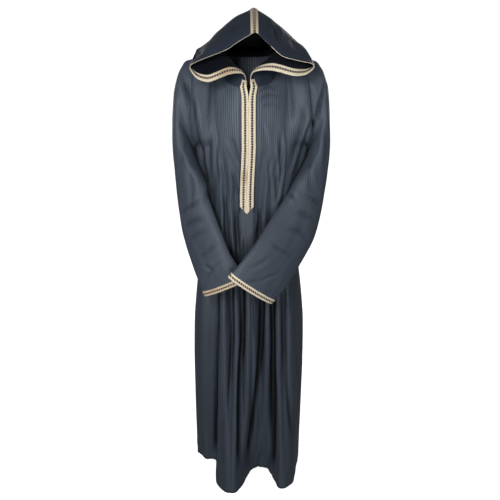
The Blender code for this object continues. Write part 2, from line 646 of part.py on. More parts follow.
def main():
    for old in list(bpy.data.objects):
        bpy.data.objects.remove(old)
    robe = bpy.data.collections.new("djellaba_robe")
    bpy.context.scene.collection.children.link(robe)
    cloth = make_material("slate_cloth", (0.055, 0.066, 0.082), 0.55, 0.0)
    braid = make_material("gold_braid", (0.66, 0.56, 0.38), 0.5, 0.2)

    front, front_normals = body_panel(True)
    back, back_normals = body_panel(False)
    below = np.s_[: CHEST_ROW + 1]
    for front_edge, back_edge in ((0, -1), (-1, 0)):
        seam = unit(front_normals[below, front_edge] + back_normals[below, back_edge])
        front_normals[below, front_edge] = seam
        back_normals[below, back_edge] = seam

    # Each armhole starts at the underarm, goes up the front and comes down the back
    sleeves = {}
    for side, rings, front_edge, back_edge in ((-1, LEFT_SLEEVE, 0, -1), (1, RIGHT_SLEEVE, -1, 0)):
        armhole = np.concatenate([front[CHEST_ROW:, front_edge], back[CHEST_ROW:-1, back_edge][::-1]])
        grid, normals = sleeve(rings, armhole, side)
        rows = ROWS_ABOVE_CHEST
        at_body = np.concatenate(
            [front_normals[CHEST_ROW:, front_edge], back_normals[CHEST_ROW:-1, back_edge][::-1]]
        )
        underarm = np.clip(1 - np.arange(rows + 1) / 2, 0, 1)
        underarm = np.concatenate([underarm, underarm[-2::-1]])[:, None]
        shared = unit(at_body + normals[0] - UP * underarm)
        normals[0] = shared
        front_normals[CHEST_ROW:, front_edge] = shared[: rows + 1]
        back_normals[CHEST_ROW:, back_edge] = shared[rows:][::-1]
        sleeves[side] = (grid, normals)

    halves = split_front(front)
    hoods = {}
    for side, name in ((-1, "left"), (1, "right")):
        half = halves[side][-1, :: side][: FRONT_CORNER + 1]
        half_normals = front_normals[-1, FRONT_CENTRE :: side][: FRONT_CORNER + 1]
        corner = BACK_CENTRE - side * BACK_CORNER
        rear = back[-1, corner :: side][: BACK_CORNER + 1]
        rear_normals = back_normals[-1, corner :: side][: BACK_CORNER + 1]
        between = np.linspace(0, BACK_CORNER, 2 * BACK_CORNER + 1)[1:]
        index = np.arange(BACK_CORNER + 1)
        rear = np.stack([np.interp(between, index, rear[:, k]) for k in range(3)], 1)
        rear_normals = np.stack([np.interp(between, index, rear_normals[:, k]) for k in range(3)], 1)
        foot = np.concatenate([half, rear])
        hoods[side] = hood_half(name, side, foot, np.concatenate([half_normals, rear_normals]))

    add_front(
        {
            -1: pull_in(halves[-1], "first_column", "last_row"),
            1: pull_in(halves[1], "last_column", "last_row"),
        },
        front_normals,
        cloth,
        robe,
    )
    wall("back_panel", pull_in(back, "first_column", "last_column", "last_row"), back_normals, CLOTH, cloth, robe)
    for side, name in ((-1, "left"), (1, "right")):
        grid, normals = sleeves[side]
        edged = pull_in(grid, "first_column", "last_column", "first_row")
        wall(f"{name}_sleeve", edged, normals, CLOTH, cloth, robe, turned=side > 0)
        add_cuff_braid(f"{name}_cuff_braid", side, grid, normals, braid, robe)
        grid, normals = hoods[side]
        edged = pull_in(grid, "first_column", "last_column", "last_row")
        wall(f"{name}_hood", edged, normals, CLOTH, cloth, robe, turned=side > 0)
        add_hood_braid(f"{name}_hood_braid", side, grid, normals, braid, robe)
        columns = np.s_[:, : FRONT_CENTRE + 1] if side < 0 else np.s_[:, FRONT_CENTRE:]
        add_placket_braid(
            f"{name}_placket_braid", side, halves[side], front_normals[columns], hoods[side], braid, robe
        )
    add_crown_braid(hoods, braid, robe)


main()
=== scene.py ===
import math

import bpy
import numpy as np
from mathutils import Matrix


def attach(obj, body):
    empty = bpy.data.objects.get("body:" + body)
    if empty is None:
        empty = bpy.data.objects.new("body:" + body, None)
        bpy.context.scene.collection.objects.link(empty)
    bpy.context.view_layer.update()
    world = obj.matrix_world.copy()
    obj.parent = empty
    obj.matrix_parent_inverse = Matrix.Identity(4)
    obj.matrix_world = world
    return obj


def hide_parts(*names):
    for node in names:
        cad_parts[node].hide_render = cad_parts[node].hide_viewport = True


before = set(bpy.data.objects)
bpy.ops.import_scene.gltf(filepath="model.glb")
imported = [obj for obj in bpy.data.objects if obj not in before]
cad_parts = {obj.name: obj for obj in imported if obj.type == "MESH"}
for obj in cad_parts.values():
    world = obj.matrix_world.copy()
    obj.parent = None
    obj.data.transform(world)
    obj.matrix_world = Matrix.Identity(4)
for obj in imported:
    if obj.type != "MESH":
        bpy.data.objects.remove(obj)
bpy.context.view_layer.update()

# Sizes are in metres, and in millimetres in the tables of folds, rings, knots and creases; the front faces -Y
sides = ((-1, "left"), (1, "right"))
clothThickness = 0.0015
seamGap = 0.0003
braidWidth = 0.0215
braidInset = 0.0008
crownBraidWidth = 0.025
cuffBraidWidth = 0.0178
chestZ, waistZ, thighZ, backHemZ = -0.24, -0.448, -0.85, -1.405
bodyRows = (6, 5, 4)
upperRows = 8
slitRow = 11
chestRow = 15
middleX = -0.004
# The chest at its sides, front and back and how round it is; how far the back lies behind at waist, thigh and hem
chestSides, chestFront, chestBack, chestRound = (-0.172, 0.182), -0.128, 0.112, 2.1
backReach = (0.104, 0.120, 0.136)
neckHalfWidth = 0.092
neckFront, neckBack, neckSide = (-0.118, -0.052), (0.092, 0.040), (0.01, 0.050)
shoulderTip = (0.160, 0.036)
neckShare = 0.62
# Handles of the lines from chest to shoulder, in the middle and at the armhole: sideways, out of the cloth, up
handles = {
    "chest": (0.0, 0.0, 0.075),
    "chestArmhole": (0.030, 0.118, 0.040),
    "shoulder": (0.0, 0.066, -0.010),
    "shoulderArmhole": (0.025, 0.100, -0.026),
}
frontCentre, frontCorner, backCentre, backCorner = 18, 11, 12, 5
slitOpenFromZ, slitOpen = -0.085, 0.0055
sideSlitZ, sideSlitOpen = -1.16, 0.006

# Waist x y, thigh x y, hem x y z: a row for each crest or valley, from the left side seam to the right one
frontFolds = np.array(
    [
        (-150, 0, -192, 0, -193, 4, -1365),
        (-141, -36, -166, -52, -160, -36, -1372),
        (-124, -66, -113, -60, -123, -36, -1380),
        (-108, -89, -106, -106, -120, -116, -1413),
        (-92, -110, -82, -126, -88, -168, -1420),
        (-77, -100, -61, -106, -68, -174, -1420),
        (-61, -114, -44, -130, -51, -174, -1420),
        (-45, -104, -27, -101, -31, -142, -1418),
        (-31.5, -113, -10, -130, -13, -98, -1410),
        (-10, -113, 4, -127, 2, -64, -1403),
        (11.5, -112, 18, -129, 21, -47, -1400),
        (31, -101, 36, -95, 42, -45, -1400),
        (47, -112, 58, -110, 62, -54, -1402),
        (66, -101, 79, -76, 79, -84, -1410),
        (86, -104, 94, -118, 95, -134, -1420),
        (102, -90, 112, -98, 112, -150, -1420),
        (117, -88, 132, -98, 134, -140, -1418),
        (129, -66, 152, -70, 153, -116, -1411),
        (139, -40, 171, -42, 167, -50, -1393),
        (145, 0, 184, 0, 178, 4, -1375),
    ]
) / 1000
# Place from right (1) to left (-1), and how far the fold stands out at the waist, thigh and hem
backFolds = np.array(
    [
        (0.90, 2, 4, 10),
        (0.72, -4, -12, -22),
        (0.52, 4, 12, 22),
        (0.36, -3, -10, -18),
        (0.18, 3, 10, 20),
        (0.02, -4, -14, -26),
        (-0.16, 4, 12, 24),
        (-0.34, -3, -9, -16),
        (-0.52, 3, 10, 18),
        (-0.72, -4, -12, -24),
        (-0.90, 2, 4, 10),
    ]
) / (1, 1000, 1000, 1000)
# Inner edge x y z, outer edge x y z, half the thickness, degrees that the seam lies behind the inner edge
sleeveRings = {
    -1: [
        (-174, -52, -281, -246, -8, -190, 72, 49),
        (-142, -121, -356, -242, -42, -288, 38, 70),
        (-126, -134, -415, -221, -72, -500, 36, 20),
        (-88, -176, -503, -187, -112, -610, 33, 20),
        (-56, -190, -572, -164, -146, -665, 27, 8),
        (-6, -199, -640, -144, -158, -708, 24, 0),
    ],
    1: [
        (182, -52, -281, 253, -8, -190, 72, 49),
        (138, -124, -352, 248, -46, -305, 40, 70),
        (76, -176, -440, 210, -92, -515, 38, 24),
        (14, -236, -523, 161, -134, -602, 33, 20),
        (-30, -258, -573, 113, -178, -670, 27, 8),
        (-66, -268, -614, 66, -206, -717, 24, 0),
    ],
}
underarmStep = (0.008, 0.001, -0.003)
shoulderStep = {-1: (0.052, -0.008, -0.018), 1: (0.060, -0.008, -0.020)}
sleeveRows = (2, 3, 3, 3, 3, 3, 2)

# Hood knots x y z, in each section from the foot of the hood round its side fold to the seam over the head
hoodEdge = {
    -1: [
        (-19, -130, -15), (-60, -150, -13), (-126, -150, -36),
        (-166, -137, -21), (-180, -124, -3), (-178, -112, 16),
        (-118, -132, 40), (-64, -122, 62), (14, -100, 108),
    ],
    1: [
        (8, -130, -10), (62, -150, -2), (134, -150, -18),
        (172, -134, -13), (189, -122, -1), (189, -112, 18),
        (104, -130, 37), (51, -118, 80), (14, -100, 108),
    ],
}
hoodLean = [
    (-2, 20, 4), (0, 10, 19), (0, 9, 19),
    (1, 16, 13), (0, 20, 6), (-1, 20, 6),
    (-5, 16, 13), (-4, 16, 14), (0, 15, 17),
]
hoodSections = [
    [
        (104, 0, 72), (122, -8, 74), (146, -12, 58),
        (162, -12, 50), (170, -11, 55), (168, -8, 70),
        (142, 0, 87), (78, 10, 139), (0, 30, 187),
    ],
    [
        (70, 86, 66), (92, 98, 66), (120, 114, 46),
        (134, 125, 41), (141, 132, 48), (139, 138, 64),
        (113, 146, 100), (60, 147, 138), (0, 148, 158),
    ],
    [
        (38, 100, 56), (52, 120, 48), (72, 142, 12),
        (82, 156, -2), (87, 166, 0), (87, 178, 12),
        (74, 196, 34), (40, 210, 54), (0, 214, 62),
    ],
    [
        (20, 103, 56), (30, 122, 40), (40, 140, -10),
        (42, 152, -40), (41, 162, -50), (40, 176, -48),
        (36, 192, -40), (22, 205, -34), (0, 210, -32),
    ],
    [
        (0, 104, 56), (0, 120, 36), (0, 136, -18),
        (0, 148, -60), (0, 157, -78), (0, 167, -88),
        (0, 179, -90), (0, 190, -86), (0, 199, -76),
    ],
]
hoodRows = (2, 9, 3, 3, 2, 2)
hoodColumns = (2, 2, 3, 2, 1, 2, 2, 3, 3)
hoodSkew = (0.012, 0.006, 0.0, 0.0, 0.0)
leanPull = 0.35
crownRows = sum(hoodRows[:5]) + 1
tiny = 1e-9


def catmull(values, at, closed=False):
    values = np.asarray(values, float)
    count = len(values)
    at = np.atleast_1d(np.asarray(at, float))
    if closed:
        start = np.floor(at + tiny).astype(int)
        before, first, second, after = (values[(start + k) % count] for k in (-1, 0, 1, 2))
    else:
        start = np.clip(np.floor(at + tiny).astype(int), 0, count - 2)
        padded = np.concatenate([[2 * values[0] - values[1]], values, [2 * values[-1] - values[-2]]])
        before, first, second, after = (padded[start + k] for k in range(4))
    t = (at - start).reshape((-1,) + (1,) * (values.ndim - 1))
    return 0.5 * (
        2 * first
        + (second - before) * t
        + (2 * before - 5 * first + 4 * second - after) * t**2
        + (3 * first - before - 3 * second + after) * t**3
    )


def stations(steps):
    return np.array([k + i / n for k, n in enumerate(steps) for i in range(n)] + [len(steps)])


def smooth(t):
    t = np.clip(t, 0.0, 1.0)
    return t * t * (3 - 2 * t)


def unit(vectors):
    return vectors / np.maximum(np.linalg.norm(vectors, axis=-1, keepdims=True), tiny)


def facing(grid):
    return unit(np.cross(np.gradient(grid, axis=1), np.gradient(grid, axis=0)))


def runs(points):
    return np.concatenate([[0], np.cumsum(np.linalg.norm(np.diff(points, axis=0), axis=1))])


def walk(points, distances):
    run = runs(points)
    return np.stack([np.interp(distances, run, points[:, k]) for k in range(3)], 1)


def steadyCurve(loops, steps):
    padded = np.concatenate([[2 * loops[0] - loops[1]], loops, [2 * loops[-1] - loops[-2]]])
    gaps = np.diff(padded, axis=0)
    spans = np.sqrt(np.maximum(np.linalg.norm(gaps, axis=-1, keepdims=True), tiny))
    speeds = gaps / spans
    speeds = (speeds[:-1] * spans[1:] + speeds[1:] * spans[:-1]) / (spans[:-1] + spans[1:])
    rows = [loops[0]]
    for k, count in enumerate(steps):
        start, end = spans[k + 1] * speeds[k], spans[k + 1] * speeds[k + 1]
        for t in np.arange(1, count + 1) / count:
            row = loops[k] + smooth(t) * (loops[k + 1] - loops[k])
            rows.append(row + t * (1 - t) ** 2 * start - t**2 * (1 - t) * end)
    return np.array(rows)


def refine(grid, rowSteps, columnSteps, before=None, after=None):
    # A ghost column from the neighbouring piece keeps the cloth smooth over a seam
    first = 0 if before is None else 1
    columns = [grid] if before is None else [before[:, None], grid]
    if after is not None:
        columns.append(after[:, None])
    grid = catmull(np.concatenate(columns, axis=1), stations(rowSteps))
    return catmull(grid.swapaxes(0, 1), first + stations(columnSteps)).swapaxes(0, 1)


# Body


def bodyRings():
    places = backFolds[:, 0]
    across, depth = np.sin(places * math.pi / 2), np.cos(places * math.pi / 2)
    rings = []
    for k, (height, reach) in enumerate(zip((waistZ, thighZ, None), backReach)):
        x, y = frontFolds[:, 2 * k], frontFolds[:, 2 * k + 1]
        z = frontFolds[:, 6] if height is None else np.full(len(x), height)
        backX = (x[0] + x[-1]) / 2 + (x[-1] - x[0]) / 2 * across
        backY = reach * depth + backFolds[:, k + 1] * np.sqrt(depth)
        backZ = np.full(len(places), backHemZ if height is None else height)
        rings.append(np.concatenate([np.stack([x, y, z], 1), np.stack([backX, backY, backZ], 1)]))
    waistX = frontFolds[:, 0]
    share = np.interp(waistX, [waistX[0], waistX[frontCentre // 2], waistX[-1]], [-1, 0, 1])
    frontY = chestFront * (1 - np.abs(share) ** chestRound) ** (1 / chestRound)
    share, y = np.concatenate([share, across]), np.concatenate([frontY, chestBack * depth])
    x = np.interp(share, [-1, 0, 1], [chestSides[0], middleX, chestSides[1]])
    return np.array([np.stack([x, y, np.full(len(y), chestZ)], 1)] + rings)


def neckline(share, side, front):
    turn = share * math.pi / 2
    centreY, centreZ = neckFront if front else neckBack
    rise = share**3 if front else share**2
    return np.array(
        [
            middleX * (1 - share) + side * neckHalfWidth * math.sin(turn),
            neckSide[0] + (centreY - neckSide[0]) * math.cos(turn),
            centreZ + (neckSide[1] - centreZ) * rise,
        ]
    )


def topEdge(place, front):
    side = -1.0 if place < 0 else 1.0
    out = (abs(place) - neckShare) / (1 - neckShare)
    if out <= tiny:
        return neckline(abs(place) / neckShare, side, front)
    fall = (1 - out) * (1 - 0.6 * out)
    x = neckHalfWidth + (shoulderTip[0] - neckHalfWidth) * out
    return np.array([side * x, neckSide[0], shoulderTip[1] + (neckSide[1] - shoulderTip[1]) * fall])


def upperLine(chest, place, front):
    side = -1.0 if place < 0 else 1.0
    forward = -1.0 if front else 1.0
    top = topEdge(place, front)
    share = min(abs(place) / neckShare, 1.0)
    out = (abs(place) / neckShare - share) * neckShare / (1 - neckShare)
    toSide = smooth(share)
    toArmhole = smooth((abs(place) - 0.55) / 0.45)
    way = np.array([side, forward, 1.0])
    low = way * handles["chest"] * (1 - toArmhole) + way * handles["chestArmhole"] * toArmhole
    turn = share * math.pi / 2
    away = np.array([side * math.sin(turn), forward * math.cos(turn), 0.0])
    neck = away * (0.002 + 0.036 * toSide) + np.array([0.0, forward * 0.034, 0.0]) * toSide
    neck[2] = -0.065 + 0.043 * toSide
    over = smooth(out / 0.4)
    high = neck * (1 - over) + way * handles["shoulder"] * over
    high = high * (1 - toArmhole) + way * handles["shoulderArmhole"] * toArmhole
    t = np.linspace(0, 1, upperRows + 1)[:, None]
    return (
        (1 - t) ** 3 * chest
        + 3 * t * (1 - t) ** 2 * (chest + low)
        + 3 * t**2 * (1 - t) * (top + high)
        + t**3 * top
    )


def topPlaces(front):
    if front:
        trimmed = (slitOpen + braidWidth) / (neckHalfWidth * math.pi / 2)
        steps, shares = (0, 2, frontCorner, frontCentre), (0, trimmed, 1, 1 / neckShare)
        stepsRight = steps[:3] + (20,)
    else:
        steps, shares = (0, backCorner, backCentre), (0, 1, 1 / neckShare)
        stepsRight = steps
    left = np.interp(np.arange(steps[-1] + 1), steps, shares)
    right = np.interp(np.arange(stepsRight[-1] + 1), stepsRight, shares)
    return neckShare * np.concatenate([-left[::-1], right[1:]])


def neckOpen(z):
    return slitOpen * smooth((z - slitOpenFromZ) / (neckFront[1] - slitOpenFromZ))


def bodyPanel(front):
    rings = bodyRings()
    last, count = len(frontFolds) - 1, rings.shape[1]
    folds = last if front else count - last
    start = 0 if front else last
    at = np.linspace(start, start + folds, folds * 2 + 1)
    sections = np.array([catmull(ring, at, closed=True) for ring in rings])
    lower = catmull(sections[::-1], stations(bodyRows))
    places = topPlaces(front) * (1 if front else -1)
    upper = np.stack([upperLine(c, p, front) for c, p in zip(sections[0], places)], 1)
    grid = np.concatenate([lower, upper[1:]])
    for column in (0, -1):
        low = smooth((sideSlitZ - grid[:, column, 2]) / 0.12)
        grid[:, column, 1] += (-1.0 if front else 1.0) * sideSlitOpen * low
    if front:
        for line in grid[slitRow:]:
            distances = neckOpen(line[frontCentre, 2]) + braidWidth * np.array([0.5, 1.0])
            left, right = line[frontCentre::-1].copy(), line[frontCentre:].copy()
            line[[frontCentre - 1, frontCentre - 2]] = walk(left, distances)
            line[[frontCentre + 1, frontCentre + 2]] = walk(right, distances)
    return grid


# Sleeves


def sleeveRing(ring, steps):
    *edges, halfThick, behind = ring
    inner, outer = np.array(edges).reshape(2, 3) / 1000
    centre, reach = (inner + outer) / 2, (outer - inner) / 2
    front = unit(np.array([0.0, -1.0, 0.0]) + unit(reach)[1] * unit(reach))
    turn = np.linspace(0, 2 * math.pi, steps + 1)[:, None]
    turn -= math.radians(behind) * (1 + np.cos(turn)) / 2
    return centre - reach * np.cos(turn) + front * halfThick / 1000 * np.sin(turn)


def sleeveForm(side, armhole):
    steps = len(armhole) - 1
    up = (1 - np.cos(np.linspace(0, 2 * math.pi, steps + 1)))[:, None] / 2
    step = (np.array(underarmStep) * (1 - up) + np.array(shoulderStep[side]) * up) * (side, 1, 1)
    loops = [armhole, armhole + step] + [sleeveRing(ring, steps) for ring in sleeveRings[side]]
    grid = steadyCurve(np.array(loops), sleeveRows)
    for c in range(grid.shape[1]):
        grid[-2, c] = walk(grid[::-1, c], [braidInset + braidWidth])[0]
    return grid


# Hood


def hoodForm(side, foot):
    flip = np.array([side, 1.0, 1.0])
    edge = np.array(hoodEdge[side]) / 1000
    lean = unit(np.array(hoodLean)) * flip * (-1, 1, 1)
    sections = [edge, edge + lean * (braidInset + braidWidth)]
    sections += [knots * flip for knots in np.array(hoodSections) / 1000]
    lift = np.clip((np.arange(len(edge)) - 5) / (len(edge) - 6), 0, 1)[:, None]
    for section, skew in zip(sections[2:], hoodSkew):
        section += lift * np.array([skew, 0, 0])
    feet = np.concatenate([[0], np.cumsum(hoodRows)])
    beyond = [section[-1] * (2, 0, 0) + section[-2] * (-1, 1, 1) for section in sections]
    loops = [np.concatenate([[foot[f]], section, [end]]) for f, section, end in zip(feet, sections, beyond)]
    across = stations(hoodColumns)
    edge, inner, *rest = (catmull(loop, across) for loop in loops)
    run = np.linalg.norm(rest[0] - inner, axis=-1, keepdims=True)
    before = inner - unit(inner - edge) * run * leanPull
    body = catmull(np.array([before, inner, *rest]), 1 + stations(hoodRows[1:]))
    grid = np.concatenate([[edge, (edge + inner) / 2], body])
    fade = np.clip(1 - across, 0, 1)[None, :, None]
    grid = grid + (foot - grid[:, 0])[:, None] * fade
    for line in grid[:crownRows]:
        line[-2] = walk(line[::-1], [crownBraidWidth / 2])[0]
    return grid


front = bodyPanel(True)
back = bodyPanel(False)
sleeves = {}
for side, frontEdge, backEdge in ((-1, 0, -1), (1, -1, 0)):
    armhole = np.concatenate([front[chestRow:, frontEdge], back[chestRow:-1, backEdge][::-1]])
    sleeves[side] = sleeveForm(side, armhole)
halves = {}
for side, columns in ((-1, np.s_[: frontCentre + 1]), (1, np.s_[frontCentre:])):
    half = front[:, columns].copy()
    edge = half[slitRow + 1 :, -1 if side < 0 else 0]
    edge[:, 0] += side * (seamGap / 2 + neckOpen(edge[:, 2]))
    halves[side] = half
hoods = {}
for side in (-1, 1):
    half = halves[side][-1, ::side][: frontCorner + 1]
    rear = back[-1, backCentre - side * backCorner :: side][: backCorner + 1]
    between = np.linspace(0, backCorner, 2 * backCorner + 1)[1:]
    rear = np.stack([np.interp(between, np.arange(backCorner + 1), rear[:, k]) for k in range(3)], 1)
    hoods[side] = hoodForm(side, np.concatenate([half, rear]))
print("forms ready")


# Creases


# A crease wanders from its line, varies in width and raises a lip on either side of its trough
creaseForm = {"wander": 0.012, "uneven": 0.25, "lip": 0.42, "lipAt": 1.9, "lipSharp": 1.4}


def creaseField(plane, creases):
    # Each row: x z of the start, x z of the end, bow in thousandths of the length, width, depth
    total = np.zeros(plane.shape[:-1])
    for k, crease in enumerate(creases):
        x0, z0, x1, z1, bow, width, depth = np.array(crease) / 1000
        start, along = np.array([x0, z0]), np.array([x1 - x0, z1 - z0])
        aside = np.array([-along[1], along[0]])
        t = np.linspace(0, 1, 8)[:, None]
        wander = (bow + creaseForm["wander"] * np.sin(7 * t + 1.7 * k)) * 4 * t * (1 - t)
        line = start + along * t + aside * wander
        near, place = np.full(total.shape, np.inf), np.zeros(total.shape)
        for i in range(len(line) - 1):
            way = line[i + 1] - line[i]
            share = np.clip(((plane - line[i]) @ way) / (way @ way), 0, 1)
            gap = np.linalg.norm(plane - line[i] - share[..., None] * way, axis=-1)
            place = np.where(gap < near, (i + share) / (len(line) - 1), place)
            near = np.minimum(gap, near)
        fade = smooth(place * 3.5) * smooth((1 - place) * 3)
        r = near / (width * (1 + creaseForm["uneven"] * np.sin(5 * place + 2.3 * k)))
        lip = creaseForm["lip"] * np.exp(-creaseForm["lipSharp"] * (r - creaseForm["lipAt"]) ** 2)
        total += depth * fade * (lip - np.exp(-r * r))
    return total


def frontRear(fine, normals, cloth, side):
    # Creases of the side of the cloth that faces forward and of the side that faces back
    forward = np.clip(-normals[..., 1] * 2.5, -1, 1)
    plane = fine[..., [0, 2]]
    moved = creaseField(plane, cloth["front"][side]) * np.clip(forward, 0, 1)
    return moved + creaseField(plane, cloth["rear"][side]) * np.clip(-forward, 0, 1)


def foldField(plane, folds):
    # Long folds that run down the cloth: width, depth and the x z of points on each from the top down
    x, z = plane[..., 0], plane[..., 1]
    total = np.zeros_like(x)
    for width, depth, line in folds:
        line = np.array(line)[::-1] / 1000
        gap = (x - np.interp(z, line[:, 1], line[:, 0])) / width * 1000
        fade = smooth((line[-1, 1] + 0.05 - z) / 0.16) * smooth((z - line[0, 1] + 0.05) / 0.12)
        total -= depth / 1000 * fade * np.exp(-gap * gap)
    return total


def deepness(moved):
    return np.clip((-moved - 0.0012) / 0.0080, 0, 0.95)


def dip(distance, depth, width):
    return depth * np.exp(-((distance / width) ** 2))


def ripples(u, v, seed, size, stretch=3.0):
    # Soft unevenness of cloth that has been worn and hung
    random = np.random.default_rng(seed)
    total = np.zeros_like(u)
    for k in range(7):
        turn = random.uniform(-0.45, 0.45)
        wave = size * random.uniform(0.6, 1.7)
        across = (u * math.cos(turn) + v * math.sin(turn) / stretch) / wave
        along = v / (wave * stretch * random.uniform(1.2, 2.5))
        swing = 1.2 * np.sin(2 * math.pi * along + random.uniform(0, 6))
        total += np.sin(2 * math.pi * across + swing + random.uniform(0, 6)) * random.uniform(0.4, 1.0)
    return total / 2.6


def lengths(grid, axis, start=0):
    # Lengths along the rows (axis 1) or the columns (axis 0) of the cloth, from one of its lines
    total = np.cumsum(np.linalg.norm(np.diff(grid, axis=axis), axis=-1), axis=axis)
    total = np.pad(total, [(1 - axis, 0), (axis, 0)])
    return total - total.take([start], axis=axis)


# Meshes


def gridQuads(rows, columns, first=0, turned=False):
    a = first + np.arange(rows - 1)[:, None] * columns + np.arange(columns - 1)[None]
    quads = np.stack([a, a + 1, a + columns + 1, a + columns], -1).reshape(-1, 4)
    return quads[:, ::-1] if turned else quads


def addMesh(name, points, faces, uv, materials, flat=None, marks=None):
    mesh = bpy.data.meshes.new(name)
    mesh.from_pydata(points.tolist(), [], [list(map(int, face)) for face in faces])
    layer = mesh.uv_layers.new(name="UVMap")
    index = np.zeros(len(mesh.loops), np.int32)
    mesh.loops.foreach_get("vertex_index", index)
    layer.data.foreach_set("uv", uv[index].astype(np.float32).ravel())
    for key, values in (marks or {}).items():
        mesh.attributes.new(key, "FLOAT", "POINT").data.foreach_set("value", values.astype(np.float32))
    for material in materials:
        mesh.materials.append(material)
    smoothed = np.ones(len(mesh.polygons), bool)
    if flat is not None:
        smoothed[flat:] = False
    mesh.polygons.foreach_set("use_smooth", smoothed)
    mesh.update()
    item = bpy.data.objects.new(name, mesh)
    bpy.context.scene.collection.objects.link(item)
    return item


def rims(quads, count):
    edges = np.concatenate([quads[:, [k, (k + 1) % 4]] for k in range(4)])
    code = edges[:, 0].astype(np.int64) * count + edges[:, 1]
    back = edges[:, 1].astype(np.int64) * count + edges[:, 0]
    return edges[~np.isin(code, back)]


def closeShell(quads, count):
    edge = rims(quads, count)
    walls = np.stack([edge[:, 1], edge[:, 0], edge[:, 0] + count, edge[:, 1] + count], -1)
    return np.concatenate([quads, quads[:, ::-1] + count, walls])


def addCloth(name, points, normals, uv, quads, thickness, material, stripe, deep, shade=0.0):
    # The inner face gets painted shade no weaker than the given shade, for an inside that lies in shadow
    points, normals, uv = points.reshape(-1, 3), normals.reshape(-1, 3), uv.reshape(-1, 2)
    stripe, deep = stripe.ravel(), deep.ravel()
    half = normals * np.reshape(thickness, (-1, 1)) / 2
    faces = closeShell(quads, len(points))
    inner = np.maximum(deep, shade)
    marks = {"stripe": np.tile(stripe, 2), "deep": np.concatenate([deep, inner])}
    shell = np.concatenate([points + half, points - half])
    return addMesh(name, shell, faces, np.tile(uv, (2, 1)), [material], 2 * len(quads), marks)


def claim(item, node):
    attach(item, "root")
    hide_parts(node)


# Materials


def put(tree, kind, values=None, **settings):
    # A socket among the values is linked, and anything else is set
    node = tree.nodes.new(kind)
    for key, value in settings.items():
        setattr(node, key, value)
    for key, value in (values or {}).items():
        socket = node.inputs[key]
        if isinstance(value, bpy.types.NodeSocket):
            tree.links.new(value, socket)
        else:
            socket.default_value = value
    return node


def sums(tree, operation, a, b=0.0, c=0.0):
    return put(tree, "ShaderNodeMath", {0: a, 1: b, 2: c}, operation=operation).outputs[0]


def blend(tree, share, first, second):
    values = {"Factor": share, 6: first, 7: second}
    return put(tree, "ShaderNodeMix", values, data_type="RGBA").outputs[2]


def attribute(tree, name):
    return put(tree, "ShaderNodeAttribute", attribute_name=name).outputs["Fac"]


def noise(tree, uv, stretch, detail):
    places = put(tree, "ShaderNodeVectorMath", {0: uv, 1: stretch}, operation="MULTIPLY").outputs[0]
    return put(tree, "ShaderNodeTexNoise", {"Vector": places, "Scale": 1.0, "Detail": detail}).outputs[0]


def dress(tree, shader, colour, height, distance, strength):
    tree.links.new(colour, shader.inputs["Base Color"])
    bump = put(tree, "ShaderNodeBump", {"Height": height, "Distance": distance, "Strength": strength})
    tree.links.new(bump.outputs[0], shader.inputs["Normal"])


def newMaterial(name, **constants):
    material = bpy.data.materials.new(name)
    material.use_nodes = True
    shader = material.node_tree.nodes["Principled BSDF"]
    for key, value in constants.items():
        shader.inputs[key.replace("_", " ")].default_value = value
    return material, material.node_tree, shader


satin = {
    "dark": (0.015, 0.021, 0.031, 1),
    "light": (0.106, 0.128, 0.166, 1),
    # The hood's colours are a darker copy of the cloth's, painted shade for the hood
    "hoodDark": (0.009, 0.013, 0.022, 1),
    "hoodLight": (0.046, 0.060, 0.090, 1),
    "shadow": (0.0015, 0.0022, 0.0042, 1),
    "stripePitch": 0.0064,
    "hoodPitch": 0.0062,
    "roughness": 0.50,
    "sheen": 0.03,
    # How densely each pattern varies over a metre across and along the cloth
    "mottle": (14, 3.5, 1),
    "thread": (520, 16, 1),
    "weave": (1500, 900, 1),
}


def satinMaterial(name, pitch, dark, light):
    material, tree, shader = newMaterial(
        name,
        Roughness=satin["roughness"],
        Sheen_Weight=satin["sheen"],
        Sheen_Roughness=0.45,
        Sheen_Tint=(0.75, 0.82, 0.95, 1),
        Specular_IOR_Level=0.24,
    )
    uv = put(tree, "ShaderNodeUVMap", uv_map="UVMap").outputs[0]
    across = put(tree, "ShaderNodeSeparateXYZ", {0: uv}).outputs[0]
    strength = attribute(tree, "stripe")
    # Weaving is never quite even, so the stripes waver and fade in places
    mottle = noise(tree, uv, satin["mottle"], 3.0)
    thread = noise(tree, uv, satin["thread"], 2.0)
    wave = sums(tree, "MULTIPLY_ADD", across, 2 * math.pi / pitch, 0.0)
    wave = sums(tree, "MULTIPLY_ADD", thread, 0.9, wave)
    stripe = sums(tree, "MULTIPLY_ADD", sums(tree, "SINE", wave), 0.5, 0.5)
    stripe = sums(tree, "POWER", stripe, 1.4)
    # Where the stripes are weak the cloth is darker too, which on the body paints shade towards the hem, but their
    # contrast falls faster
    contrast = sums(tree, "MULTIPLY", strength, strength)
    pattern = sums(tree, "MULTIPLY_ADD", stripe, 0.62, sums(tree, "MULTIPLY_ADD", thread, 0.40, -0.45))
    share = sums(tree, "MULTIPLY_ADD", strength, 0.42, sums(tree, "MULTIPLY_ADD", mottle, 0.20, 0.02))
    share = sums(tree, "MULTIPLY_ADD", pattern, contrast, share)
    colour = blend(tree, share, dark, light)
    # Less light reaches the bottom of a deep fold
    colour = blend(tree, attribute(tree, "deep"), colour, satin["shadow"])
    grain = noise(tree, uv, satin["weave"], 1.0)
    height = sums(tree, "MULTIPLY_ADD", grain, 0.35, sums(tree, "MULTIPLY", stripe, contrast))
    height = sums(tree, "MULTIPLY_ADD", thread, 0.5, height)
    dress(tree, shader, colour, height, 0.00025, 0.5)
    return material


